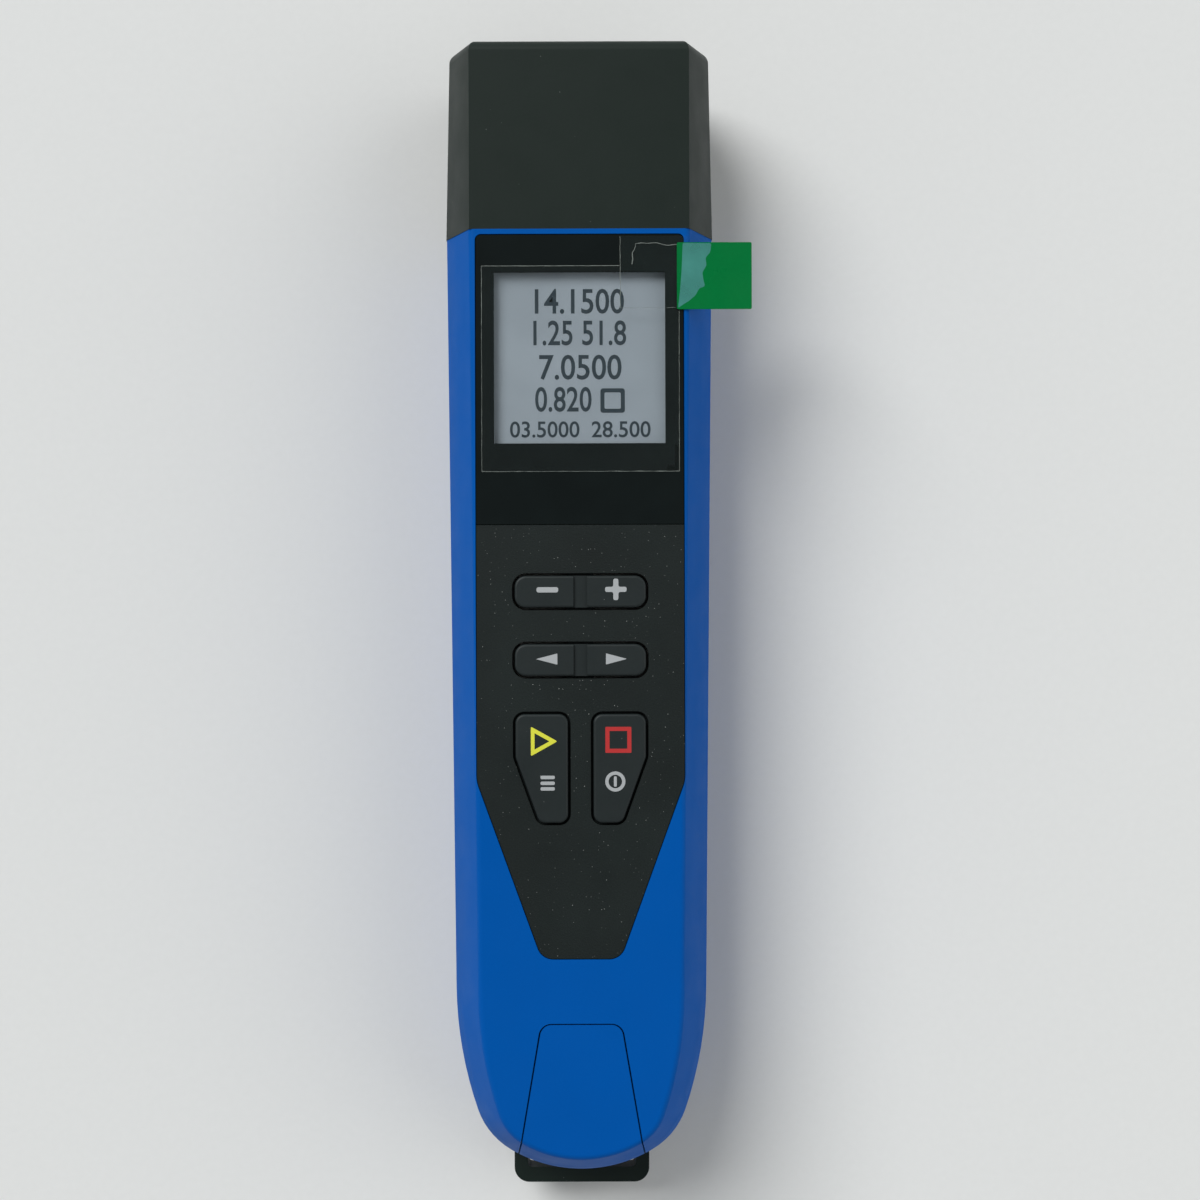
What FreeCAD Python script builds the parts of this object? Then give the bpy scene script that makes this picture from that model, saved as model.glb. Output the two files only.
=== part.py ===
import FreeCAD, Part
import math
import os
import re
import Sketcher

# Handheld antenna analyzer, in millimetres. It lies on its back: Z points out of the screen,
# Y towards the antenna socket at the head, X to the right of someone who reads the screen.
# The origin is on the back face, under the middle of the case.

Vector = FreeCAD.Vector

# Driving sizes
SIZES = [
    ("case_depth", 34.0, "back face to front face"),
    ("seam_drop", 18.0, "front face to the joint between the two shells"),
    ("band_drop", 11.0, "front face to the upper end of the upright side band"),
    ("band_step", 3.0, "seam to the lower end of the side band"),
    ("front_inset", 5.05, "how far the front facets lean in"),
    ("rear_inset", 8.9, "how far the rear facets lean in"),
    ("head_half", 25.85, "half width of the case at its head"),
    ("head_end", 71.6, "where the shells end and the cap begins"),
    ("end_spare", 12.0, "extra length that is trimmed square at the head"),
    ("tail_half", 24.3, "half width where the tail begins to round"),
    ("tail_reach", 109.1, "origin to the tip of the tail"),
    ("tip_radius", 27.0, "tail end curve"),
    ("shoulder_radius", 14.6, "tail corner curve"),
    ("side_radius", 76.0, "long curve into the tail"),
    ("side_turn", 18.4, "how far the long curve turns, degrees"),
    ("side_wall", 2.2, "shell wall at the sides"),
    ("front_wall", 3.4, "shell wall at the front"),
    ("rear_wall", 2.2, "shell wall at the back"),
    ("front_edge_radius", 1.3, "rounding round the front face"),
    ("rear_edge_radius", 1.5, "rounding round the back face"),
    ("recess_depth", 1.8, "how deep the fascia is let in"),
    ("fascia_drop", 0.1, "fascia surface below the shell's face"),
    ("fascia_half", 19.6, "half width of the fascia"),
    ("fascia_head", 70.5, "upper end of the fascia"),
    ("fascia_waist", 32.6, "where the fascia begins to narrow, below the origin"),
    ("fascia_foot", 66.2, "lower end of the fascia, below the origin"),
    ("fascia_foot_half", 7.4, "half width of the fascia's lower end"),
    ("fascia_corner", 1.0, "upper corner radius"),
    ("waist_corner", 6.0, "radius where the fascia narrows"),
    ("foot_corner", 3.0, "lower corner radius"),
    ("fascia_fit", 0.15, "gap round the fascia"),
    ("window_foot", 15.85, "lower edge of the glossy window"),
    ("window_thickness", 0.85, "window sheet"),
    ("window_drop", 0.15, "window surface below the shell's face"),
    ("tape_thickness", 0.15, "adhesive under the window"),
    ("film_thickness", 0.1, "protective film"),
    ("screen_size", 32.1, "side of the square active area"),
    ("screen_middle", 47.3, "middle of the active area"),
    ("screen_border", 0.45, "fascia opening round the active area"),
    ("glass_width", 36.0, "display glass"),
    ("glass_height", 39.0, "display glass"),
    ("glass_middle", 46.5, "middle of the glass"),
    ("glass_thickness", 2.0, "display glass"),
    ("gasket_thickness", 0.2, "foam between glass and fascia"),
    ("glass_gap", 0.4, "shell opening round the glass"),
    ("board_drop", 7.2, "front face to the board's upper face"),
    ("board_thickness", 1.6, "circuit board"),
    ("board_gap", 0.4, "board edge to shell"),
    ("board_head", 66.5, "upper end of the board"),
    ("key_rise", 0.5, "keys above the front face"),
    ("key_sink", 3.0, "front face to the keys' underside"),
    ("flange_thickness", 0.9, "rim that keeps a key under the fascia"),
    ("flange_lap", 0.9, "how far the rim reaches past the key"),
    ("rocker_length", 24.75, "rocker key along X"),
    ("rocker_width", 6.0, "rocker key along Y"),
    ("rocker_gap", 0.5, "fascia opening round a rocker"),
    ("rocker_corner", 2.1, "rocker corner radius"),
    ("rocker_flange", 2.5, "half length of a rocker's rim"),
    ("bridge_width", 2.6, "sunk strip between a rocker's pads"),
    ("bridge_sink", 0.5, "depth of that strip"),
    ("minus_plus_place", 3.1, "middle of the upper rocker"),
    ("arrow_place", 9.8, "middle of the lower rocker, below the origin"),
    ("tall_inner", 2.4, "inner side of a tall key"),
    ("tall_outer", 12.3, "outer side of a tall key"),
    ("tall_head", 20.0, "upper edge of a tall key, below the origin"),
    ("tall_waist", 28.1, "where a tall key begins to narrow"),
    ("tall_foot", 40.5, "lower edge of a tall key"),
    ("tall_foot_outer", 7.8, "outer end of the lower edge"),
    ("tall_corner", 1.7, "tall key corner radius"),
    ("tall_gap", 0.5, "fascia opening round a tall key"),
    ("key_edge", 0.45, "soft edge on top of the keys"),
    ("stem_radius", 1.2, "plunger under a key"),
    ("stem_reach", 8.0, "rocker plungers from the middle"),
    ("tall_stem", 7.3, "tall key plunger from the middle"),
    ("tall_stem_place", 29.0, "tall key plunger below the origin"),
    ("rock_gap", 0.5, "rocker plunger above its dome"),
    ("press_gap", 0.95, "tall key plunger above its dome"),
    ("dome_radius", 2.6, "snap dome"),
    ("dome_height", 0.5, "snap dome"),
    ("mat_half", 14.2, "half width of the keypad mat"),
    ("mat_head", 7.9, "upper edge of the mat"),
    ("mat_foot", 42.8, "lower edge of the mat, below the origin"),
    ("mat_drop", 4.2, "front face to the mat"),
    ("mat_thickness", 1.2, "mat plate and skirt"),
    ("mat_hole_gap", 0.4, "mat hole round a plunger"),
    ("keypad_gap", 0.4, "shell opening round the mat"),
    ("boss_side", 18.6, "case screws from the middle"),
    ("boss_head", 58.0, "upper case screws"),
    ("boss_foot", 62.0, "lower case screws, below the origin"),
    ("boss_radius", 2.9, "front screw boss"),
    ("boss_drop", 9.5, "front face to the upper end of the front bosses"),
    ("rear_boss_radius", 3.4, "rear screw boss"),
    ("rear_boss_foot", 4.0, "lower end of the rear bosses"),
    ("rib_thickness", 2.0, "web from boss to wall"),
    ("rib_bite", 1.2, "outer face to the web's end"),
    ("boss_clearance", 0.5, "board notch round a boss"),
    ("screw_radius", 1.2, "case screw shank"),
    ("screw_tip", 4.0, "front boss past the end of its screw"),
    ("screw_seat", 8.0, "where a case screw's head seats"),
    ("head_radius", 2.25, "case screw head"),
    ("head_height", 1.8, "case screw head"),
    ("hole_play", 0.2, "screw hole over its screw"),
    ("pilot_play", 0.05, "pilot hole over its screw"),
    ("post_side", 17.0, "upper board posts from the middle"),
    ("post_head", 15.0, "upper board posts"),
    ("post_foot_side", 15.5, "lower board posts from the middle"),
    ("post_foot", 48.0, "lower board posts, below the origin"),
    ("post_radius", 2.4, "board post"),
    ("board_screw_radius", 0.95, "board screw shank"),
    ("board_screw_length", 4.2, "board screw shank"),
    ("board_head_radius", 1.8, "board screw head"),
    ("board_head_height", 1.3, "board screw head"),
    ("groove_inset", 0.7, "seam gasket from the outer face"),
    ("groove_width", 0.8, "seam gasket"),
    ("groove_depth", 0.7, "seam gasket"),
    ("cell_headroom", 3.1, "cell to the board above it"),
    ("cell_base", 3.7, "back face to the cell"),
    ("cell_length", 65.0, "battery cell"),
    ("cell_foot", 70.0, "lower end of the cell, below the origin"),
    ("terminal_radius", 3.0, "raised positive end"),
    ("terminal_height", 0.6, "raised positive end"),
    ("cradle_half", 11.0, "half width of the battery cradle"),
    ("cradle_floor", 1.2, "cradle base"),
    ("cradle_dip", 3.9, "top of the saddles below the cell's axis"),
    ("saddle_length", 5.0, "each saddle along the cell"),
    ("saddle_place", 12.0, "saddle middle from the cell's end"),
    ("cell_fit", 0.02, "saddle over the cell"),
    ("lead_radius", 0.7, "battery lead"),
    ("plug_length", 8.0, "battery plug along Y"),
    ("plug_width", 6.0, "battery plug along X"),
    ("plug_height", 4.2, "battery plug"),
    ("plug_side", 14.6, "battery plug from the middle"),
    ("plug_place", 20.0, "battery plug, below the origin"),
    ("buzzer_radius", 6.0, "buzzer"),
    ("buzzer_height", 5.0, "buzzer"),
    ("buzzer_place", 12.0, "buzzer"),
    ("shield_half", 14.0, "radio shield can"),
    ("shield_foot", 28.0, "radio shield can"),
    ("shield_room", 5.0, "shield can to the foot of the socket's lead"),
    ("shield_height", 4.5, "radio shield can"),
    ("shield_wall", 0.3, "sheet of the can"),
    ("cap_end", 107.5, "outer end of the cap"),
    ("cap_end_half", 25.0, "half width of the cap at its end"),
    ("cap_wall", 1.8, "cap side wall"),
    ("cap_end_wall", 2.0, "cap end wall"),
    ("cap_gap", 0.3, "cap over the neck"),
    ("cap_edge", 2.2, "rounding at the cap's end"),
    ("neck_end", 82.0, "front of the neck"),
    ("neck_wall", 2.0, "neck side wall"),
    ("neck_front_wall", 3.0, "neck front wall"),
    ("tongue_root", 67.0, "inner end of the neck, inside the shells"),
    ("tongue_fit", 0.15, "neck tongue inside the shells"),
    ("barrel_radius", 7.94, "coupling thread of the socket"),
    ("barrel_end", 98.0, "mouth of the socket"),
    ("thread_start", 87.0, "first full thread"),
    ("relief_radius", 7.3, "groove behind the thread"),
    ("relief_width", 0.8, "groove behind the thread"),
    ("mouth_chamfer", 0.6, "lead-in at the mouth"),
    ("flange_radius", 10.4, "socket flange"),
    ("flange_width", 2.2, "socket flange"),
    ("bore_radius", 6.3, "inside of the socket shell"),
    ("stud_root", 74.0, "inner end of the socket's rear thread"),
    ("stud_play", 0.15, "neck hole over the rear thread"),
    ("ring_radius", 9.1, "sealing ring centre line"),
    ("ring_thickness", 0.7, "sealing ring half thickness"),
    ("dielectric_face", 92.0, "front face of the insulator"),
    ("contact_radius", 2.9, "centre contact outside"),
    ("contact_bore", 2.0, "centre contact bore"),
    ("contact_depth", 10.0, "depth of that bore"),
    ("contact_root", 76.0, "inner end of the thick part"),
    ("pin_radius", 1.3, "solder pin"),
    ("pin_root", 71.0, "inner end of the solder pin"),
    ("slit_width", 0.6, "slits in the contact's mouth"),
    ("slit_depth", 4.0, "slits in the contact's mouth"),
    ("washer_thickness", 0.8, "lock washer"),
    ("washer_room", 6.2, "lock washer to the height of the case's faces"),
    ("nut_thickness", 2.8, "socket nut"),
    ("nut_half", 9.5, "half the nut's width across flats"),
    ("coax_radius", 1.1, "lead from the socket to the board"),
    ("coax_foot", 57.0, "where that lead meets the board"),
    ("block_inset", 12.1, "tip of the tail to the inner face of the solid tail"),
    ("port_inset", 8.1, "tip of the tail to the bottom of the port recess"),
    ("port_half", 7.0, "half width of the port recess"),
    ("port_rise", 4.0, "half height of the port recess"),
    ("usb_half", 4.5, "half width of the data socket"),
    ("usb_rise", 3.2, "height of the data socket"),
    ("usb_length", 7.0, "data socket"),
    ("usb_wall", 0.3, "data socket shell"),
    ("usb_depth", 6.0, "open depth of the data socket"),
    ("usb_fit", 0.2, "tail passage round the data socket"),
    ("cover_length", 30.4, "tip of the tail to the cover's upper edge"),
    ("cover_half", 7.5, "half width of that edge"),
    ("cover_spread", 0.17, "how fast the cover widens"),
    ("cover_corner", 2.2, "upper corner radius"),
    ("cover_skin", 1.6, "cover thickness"),
    ("cover_gap", 0.25, "gap round the cover"),
    ("cover_under", 0.3, "gap under the cover"),
    ("hinge_inset", 1.5, "tip of the tail to the cover hinge"),
    ("hinge_below", 5.0, "cover hinge axis below the middle of the port"),
    ("hinge_radius", 1.0, "hinge bead"),
    ("hinge_half", 5.0, "half length of the hinge bead"),
    ("hinge_relief", 1.8, "room under the hinge for the cover's edge"),
    ("stopper_inset", 3.9, "tip of the tail to the stopper's inner face"),
    ("stopper_side_gap", 0.4, "stopper to recess, sides and below"),
    ("stopper_top_gap", 0.6, "stopper to recess, above"),
    ("bracket_half", 13.55, "half width of the strap bracket"),
    ("bracket_overhang", 6.4, "strap bracket past the tip of the tail"),
    ("bracket_bar", 3.0, "width of its outer bar"),
    ("bracket_arm", 2.65, "width of its arms"),
    ("bracket_slot_inset", 3.6, "tip of the tail to the inner edge of the strap slot"),
    ("bracket_root_inset", 16.1, "tip of the tail to the bracket's inner end"),
    ("bracket_low", 6.0, "underside of the bracket"),
    ("bracket_high", 10.5, "top of the bracket"),
    ("bracket_corner", 3.0, "outer corner radius"),
    ("bracket_fit", 0.1, "shell slot round the bracket"),
    ("peg_side", 8.0, "locating pegs from the middle"),
    ("peg_inset", 12.6, "tip of the tail to the locating pegs"),
    ("peg_radius", 1.5, "locating peg"),
    ("peg_rise", 0.8, "peg above the bracket"),
    ("label_half", 14.0, "half width of the rear label"),
    ("label_foot", 14.0, "lower edge of the rear label"),
    ("label_head", 50.0, "upper edge of the rear label"),
    ("label_thickness", 0.15, "rear label"),
    ("label_sink", 0.25, "depth of its recess"),
    ("label_play", 0.1, "gap round the rear label"),
    ("film_left", 18.6, "left edge of the film from the middle"),
    ("film_right", 18.9, "right edge of the film"),
    ("film_foot", 25.7, "lower edge of the film"),
    ("film_head", 64.7, "upper edge of the film"),
    ("strip_left", 7.6, "left end of the clear tape"),
    ("strip_right", 20.6, "right end of the clear tape"),
    ("strip_foot", 56.4, "lower edge of the clear tape"),
    ("strip_head", 70.2, "upper edge of the clear tape"),
    ("strip_thickness", 0.08, "clear tape"),
    ("tab_left", 18.4, "inner end of the pull tab"),
    ("tab_right", 32.5, "outer end of the pull tab"),
    ("tab_foot", 56.3, "lower edge of the pull tab"),
    ("tab_head", 68.9, "upper edge of the pull tab"),
    ("tab_thickness", 0.2, "pull tab"),
    ("tab_corner", 0.3, "pull tab corner radius"),
]

# Sizes that follow from the driving ones
FOLLOWING = [
    ("board_top", "case_depth - board_drop", "upper face of the circuit board"),
    ("key_top", "case_depth + key_rise", "top of the keys"),
    ("key_floor", "case_depth - key_sink", "underside of the keys"),
    ("mat_top", "case_depth - mat_drop", "upper face of the mat"),
    ("boss_top", "case_depth - boss_drop", "upper end of the front bosses"),
    ("band_top", "case_depth - band_drop", "upper end of the upright side band"),
    ("seam_height", "case_depth - seam_drop", "joint between the two shells"),
    ("band_bottom", "seam_height - band_step", "lower end of the upright side band"),
    ("socket_height", "case_depth / 2", "antenna socket axis above the back face"),
    ("port_height", "board_top - board_thickness - usb_rise / 2",
     "middle of the port above the back face"),
    ("hinge_height", "port_height - hinge_below", "cover hinge axis above the back face"),
    ("cell_radius", "(board_top - board_thickness - cell_headroom - cell_base) / 2", "battery cell"),
    ("cell_height", "cell_base + cell_radius", "cell axis above the back face"),
    ("screw_length", "boss_top - screw_tip - screw_seat", "case screw shank"),
    ("cradle_rise", "cell_height - cradle_dip", "top of the saddles above the back face"),
    ("washer_radius", "case_depth / 2 - washer_room", "lock washer"),
    ("shield_head", "coax_foot - shield_room", "upper end of the shield can"),
    ("hinge_place", "tail_reach - hinge_inset", "cover hinge axis, below the origin"),
    ("stopper_depth", "tail_reach - stopper_inset",
     "inner face of the cover's stopper, below the origin"),
    ("port_floor", "tail_reach - port_inset", "bottom of the port recess, below the origin"),
    ("block_face", "tail_reach - block_inset", "inner face of the solid tail, below the origin"),
    ("cover_head", "tail_reach - cover_length", "upper edge of the port cover, below the origin"),
    ("bracket_end", "tail_reach + bracket_overhang",
     "outer edge of the strap bracket, below the origin"),
    ("bracket_slot", "tail_reach - bracket_slot_inset", "inner edge of the strap slot"),
    ("bracket_root", "tail_reach - bracket_root_inset", "inner end of the bracket"),
    ("peg_place", "tail_reach - peg_inset", "locating pegs, below the origin"),
]

doc = FreeCAD.newDocument("antenna_analyzer")
sheet = doc.addObject("Spreadsheet::Sheet", "Sizes")
for row, (alias, size, meaning) in enumerate(SIZES, start=1):
    sheet.set("A%d" % row, meaning)
    sheet.set("B%d" % row, str(size))
    sheet.setAlias("B%d" % row, alias)
for row, (alias, formula, meaning) in enumerate(FOLLOWING, start=len(SIZES) + 1):
    sheet.set("A%d" % row, meaning)
    sheet.set("B%d" % row, "=" + formula)
    sheet.setAlias("B%d" % row, alias)
doc.recompute()

# Reading and binding sizes
ZERO = "0 * case_depth"
WORD = re.compile(r"[a-z][a-z_0-9]*")
FUNCTIONS = ("atan", "tan", "sin", "cos", "hypot")


def linked(formula):
    """The formula with each size written as a cell of the sheet."""
    def spell(found):
        word = found.group(0)
        return word if word in FUNCTIONS else "Sizes." + word
    return WORD.sub(spell, formula)


def number(formula):
    """The formula's present value."""
    result = sheet.evalExpression(linked(formula))
    return float(getattr(result, "Value", result))


def bind(item, settings):
    """Tie properties to formulas of the sheet."""
    for name, formula in settings.items():
        item.setExpression(name, linked(formula))
    return item


def labelled(kind, label):
    item = doc.addObject(kind, label)
    item.Label = label
    return item


# Solids from Part primitives
def box(label, x, y, z):
    """A box between pairs of formulas along each axis."""
    item = labelled("Part::Box", label)
    settings = {}
    for axis, side, (low, high) in zip("xyz", ("Length", "Width", "Height"), (x, y, z)):
        settings["Placement.Base." + axis] = low
        settings[side] = "(%s) - (%s)" % (high, low)
    return bind(item, settings)


TURNS = {
    "X": FreeCAD.Rotation(Vector(0, 1, 0), 90),
    "Y": FreeCAD.Rotation(Vector(1, 0, 0), -90),
    "Z": FreeCAD.Rotation(),
}


def rod(label, radius, foot, length, axis="Z"):
    """A cylinder that starts at foot and runs along an axis."""
    item = labelled("Part::Cylinder", label)
    item.Placement = FreeCAD.Placement(Vector(), TURNS[axis])
    settings = {"Radius": radius, "Height": length}
    for name, formula in zip("xyz", foot):
        settings["Placement.Base." + name] = formula
    return bind(item, settings)


def fuse(label, *pieces):
    item = labelled("Part::MultiFuse", label)
    item.Shapes = list(pieces)
    return item


def cut(label, base, *tools):
    item = labelled("Part::Cut", label)
    item.Base = base
    item.Tool = tools[0] if len(tools) == 1 else fuse(label + "_tools", *tools)
    return item


def common(label, base, tool):
    item = labelled("Part::Common", label)
    item.Base = base
    item.Tool = tool
    return item


def rounded(label, base, radius, chosen):
    """Base with the chosen edges rounded."""
    doc.recompute()
    item = labelled("Part::Fillet", label)
    item.Base = base
    size = number(radius)
    picked = [index for index, edge in enumerate(base.Shape.Edges, start=1) if chosen(edge)]
    item.Edges = [(index, size, size) for index in picked]
    return item


# Sketches and PartDesign features
Rule = Sketcher.Constraint


def hold(sketch, geometry, point, axis, formula):
    """Fix one coordinate of a sketch point by a formula."""
    index = sketch.addConstraint(Rule("Distance" + axis, -1, 1, geometry, point, number(formula)))
    sketch.setExpression("Constraints[%d]" % index, linked(formula))


def new_body(label):
    return labelled("PartDesign::Body", label)


def new_sketch(body, role, height, lift=ZERO):
    """A sketch on one of the body's origin planes, moved along its normal and up its own Y."""
    plane = [item for item in body.Origin.OriginFeatures if item.Role == role][0]
    sketch = body.newObject("Sketcher::SketchObject", body.Name + "_sketch")
    sketch.AttachmentSupport = (plane, [""])
    sketch.MapMode = "FlatFace"
    away = "-(%s)" % height if role == "XZ_Plane" else height
    bind(sketch, {"AttachmentOffset.Base.z": away, "AttachmentOffset.Base.y": lift})
    return sketch


def polygon(body, role, height, corners, lift=ZERO):
    """A closed sketch of straight lines through corners given as formulas."""
    sketch = new_sketch(body, role, height, lift)
    spots = [Vector(number(across), number(along), 0) for across, along in corners]
    count = len(spots)
    for index in range(count):
        line = Part.LineSegment(spots[index], spots[(index + 1) % count])
        sketch.addGeometry(line, False)
    for index in range(count):
        sketch.addConstraint(Rule("Coincident", index, 2, (index + 1) % count, 1))
    for index, (across, along) in enumerate(corners):
        hold(sketch, index, 1, "X", across)
        hold(sketch, index, 1, "Y", along)
    return sketch


def discs(body, height, radius, spots, role="XY_Plane"):
    """A sketch of equal circles."""
    sketch = new_sketch(body, role, height)
    for index, (across, along) in enumerate(spots):
        centre = Vector(number(across), number(along), 0)
        sketch.addGeometry(Part.Circle(centre, Vector(0, 0, 1), number(radius)), False)
        hold(sketch, index, 3, "X", across)
        hold(sketch, index, 3, "Y", along)
        place = sketch.addConstraint(Rule("Radius", index, number(radius)))
        sketch.setExpression("Constraints[%d]" % place, linked(radius))
    return sketch


def feature(body, kind, sketch, settings, **choices):
    """Add a sketch-based feature to a body."""
    item = body.newObject("PartDesign::" + kind, body.Name + "_" + kind.lower())
    item.Profile = sketch
    for name, choice in choices.items():
        setattr(item, name, choice)
    bind(item, settings)
    doc.recompute()
    return item


def pad(body, sketch, length, reverse=False):
    return feature(body, "Pad", sketch, {"Length": length}, Reversed=reverse)


def pocket(body, sketch, length, reverse=False):
    """A pocket that must take material away."""
    before = body.Shape.Volume
    item = feature(body, "Pocket", sketch, {"Length": length}, Reversed=reverse)
    if not item.Shape.Volume < before - 1e-6:
        raise RuntimeError(body.Label + ": a pocket cuts nothing")
    return item


def round_body(body, radius, chosen):
    """Round the chosen edges of the body as it stands."""
    base = body.Tip
    picked = [index for index, edge in enumerate(base.Shape.Edges, start=1) if chosen(edge)]
    item = body.newObject("PartDesign::Fillet", body.Name + "_fillet")
    item.Base = (base, ["Edge%d" % index for index in picked])
    bind(item, {"Radius": radius})
    doc.recompute()
    return item


def upright_at(spots):
    """Chooses edges along Z that stand at the given places."""
    places = [(number(across), number(along)) for across, along in spots]

    def chosen(edge):
        limits = edge.BoundBox
        if limits.XLength > 1e-4 or limits.YLength > 1e-4:
            return False
        return any(math.hypot(limits.XMin - x, limits.YMin - y) < 0.02 for x, y in places)
    return chosen


def at_height(height, inside=None):
    """Chooses flat edges at one height, all of them or those that a test lets in."""
    level = number(height)

    def chosen(edge):
        limits = edge.BoundBox
        if abs(limits.ZMin - level) > 1e-3 or abs(limits.ZMax - level) > 1e-3:
            return False
        return inside is None or inside(limits)
    return chosen


def rectangle(x, y):
    (left, right), (low, high) = x, y
    return [(left, low), (right, low), (right, high), (left, high)]


def plate(label, x, y, foot, height, corner=None):
    """A flat rectangular body, with its corners rounded where a radius is given."""
    body = new_body(label)
    outline = rectangle(x, y)
    pad(body, polygon(body, "XY_Plane", foot, outline), height)
    if corner:
        round_body(body, corner, upright_at(outline))
    return body


def turned(label, *profiles):
    """A body turned about the antenna socket's axis; profile points are (place, radius)."""
    body = new_body(label)
    for profile in profiles:
        sketch = polygon(body, "YZ_Plane", ZERO, profile, lift="socket_height")
        feature(body, "Revolution", sketch, {}, ReferenceAxis=(sketch, ["H_Axis"]), Angle=360.0)
    return body


def arced_route(points):
    """Straight runs joined by tangent arcs as large as the runs allow."""
    edges = []
    start = points[0]
    for before, here, after in zip(points, points[1:], points[2:]):
        arrive = (here - before).normalize()
        leave = (after - here).normalize()
        turn = arrive.getAngle(leave)
        reach = 0.45 * min((here - before).Length, (after - here).Length)
        radius = reach / math.tan(turn / 2)
        inward = (leave - arrive).normalize()
        middle = here + inward * (radius / math.cos(turn / 2) - radius)
        first = here - arrive * reach
        last = here + leave * reach
        edges.append(Part.LineSegment(start, first).toShape())
        edges.append(Part.Arc(first, middle, last).toShape())
        start = last
    edges.append(Part.LineSegment(start, points[-1]).toShape())
    return Part.Wire(edges)


def lead(label, radius, formulas):
    """A round lead along a route; its sizes are read from the sheet here."""
    points = [Vector(number(x), number(y), number(z)) for x, y, z in formulas]
    route = arced_route(points)
    ring = Part.Wire([Part.makeCircle(number(radius), points[0], points[1] - points[0])])
    item = labelled("Part::Feature", label)
    item.Shape = route.makePipeShell([ring], True, False)
    return item


# Outline of the case seen from the front: straight sides, then a rounded tail of tangent arcs
def case_outline(label, height):
    sketch = labelled("Sketcher::SketchObject", label)
    bind(sketch, {"Placement.Base.z": height})
    head = number("head_end + end_spare")
    wide = number("head_half")
    narrow = number("tail_half")
    tip = number("tip_radius")
    shoulder = number("shoulder_radius")
    side = number("side_radius")
    end = -number("tail_reach") + tip
    start = end
    for _ in range(8):
        draft = math.atan((wide - narrow) / (head - start))
        bend = draft + math.radians(number("side_turn"))
        across = narrow - side * math.cos(draft) + (side - shoulder) * math.cos(bend)
        close = math.acos(across / (tip - shoulder))
        start = (end - side * math.sin(draft) + (side - shoulder) * math.sin(bend)
                 + (shoulder - tip) * math.sin(close))
    side_middle = Vector(narrow - side * math.cos(draft), start + side * math.sin(draft), 0)
    reach = side - shoulder
    corner_middle = side_middle + Vector(reach * math.cos(bend), -reach * math.sin(bend), 0)

    def arc(x, y, radius, low, high):
        return Part.ArcOfCircle(Part.Circle(Vector(x, y, 0), Vector(0, 0, 1), radius), low, high)

    half_turn = math.pi
    sketch.addGeometry([
        Part.LineSegment(Vector(-wide, head, 0), Vector(wide, head, 0)),
        Part.LineSegment(Vector(wide, head, 0), Vector(narrow, start, 0)),
        arc(side_middle.x, side_middle.y, side, -bend, -draft),
        arc(corner_middle.x, corner_middle.y, shoulder, -close, -bend),
        arc(0, end, tip, close - half_turn, -close),
        arc(-corner_middle.x, corner_middle.y, shoulder, bend - half_turn, close - half_turn),
        arc(-side_middle.x, side_middle.y, side, draft - half_turn, bend - half_turn),
        Part.LineSegment(Vector(-narrow, start, 0), Vector(-wide, head, 0)),
    ], False)
    sketch.addConstraint(Rule("Coincident", 0, 2, 1, 1))
    sketch.addConstraint(Rule("Coincident", 7, 2, 0, 1))
    for joint in ((1, 2, 2, 2), (2, 1, 3, 2), (3, 1, 4, 2), (4, 1, 5, 2), (5, 1, 6, 2), (6, 1, 7, 1)):
        sketch.addConstraint(Rule("Tangent", *joint))
    hold(sketch, 0, 1, "X", "-head_half")
    hold(sketch, 0, 1, "Y", "head_end + end_spare")
    hold(sketch, 0, 2, "X", "head_half")
    hold(sketch, 0, 2, "Y", "head_end + end_spare")
    hold(sketch, 1, 2, "X", "tail_half")
    hold(sketch, 7, 1, "X", "-tail_half")
    hold(sketch, 4, 3, "X", "0 * tip_radius")
    hold(sketch, 4, 3, "Y", "tip_radius - tail_reach")
    radii = (
        (2, "side_radius"),
        (3, "shoulder_radius"),
        (4, "tip_radius"),
        (5, "shoulder_radius"),
        (6, "side_radius"),
    )
    for curve, formula in radii:
        index = sketch.addConstraint(Rule("Radius", curve, number(formula)))
        sketch.setExpression("Constraints[%d]" % index, linked(formula))
    for curve in (2, 6):
        index = sketch.addConstraint(Rule("Angle", curve, math.radians(number("side_turn"))))
        sketch.setExpression("Constraints[%d]" % index, linked("side_turn"))
    return sketch


FRONT_LEAN = "front_inset / (case_depth - band_top)"
REAR_LEAN = "rear_inset / band_bottom"


def slab(label, foot, height, inset=None, lean=None, down=False):
    """The case outline drawn out along Z, drawn in by an inset and leaning in where asked."""
    base = case_outline(label + "_outline", foot)
    if inset:
        inner = labelled("Part::Offset2D", label + "_inset")
        inner.Source = base
        bind(inner, {"Value": "-(%s)" % inset})
        base = inner
    item = labelled("Part::Extrusion", label)
    item.Base = base
    item.DirMode = "Custom"
    item.Dir = Vector(0, 0, -1 if down else 1)
    item.Solid = True
    settings = {"LengthFwd": height}
    if lean:
        settings["TaperAngle"] = "-atan(%s)" % lean
    return bind(item, settings)


def front_form(label, foot, inset, thickness):
    """The front half's outer form, or one that lies inside it."""
    band = slab(label + "_band", foot, "band_top - (%s)" % foot, inset)
    rise = "case_depth - band_top - (%s)" % thickness
    facets = slab(label + "_facets", "band_top", rise, inset, FRONT_LEAN)
    return fuse(label, band, facets)


def rear_form(label, inset, thickness):
    """The rear half's outer form, or one that lies inside it."""
    band = slab(label + "_band", "band_bottom", "seam_height - band_bottom", inset)
    drop = "band_bottom - (%s)" % thickness
    facets = slab(label + "_facets", "band_bottom", drop, inset, REAR_LEAN, down=True)
    return fuse(label, band, facets)


FAR = "2 * tail_reach"
WHOLE_X = ("-2 * head_half", "2 * head_half")
WHOLE_Z = ("-case_depth", "2 * case_depth")

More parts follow.
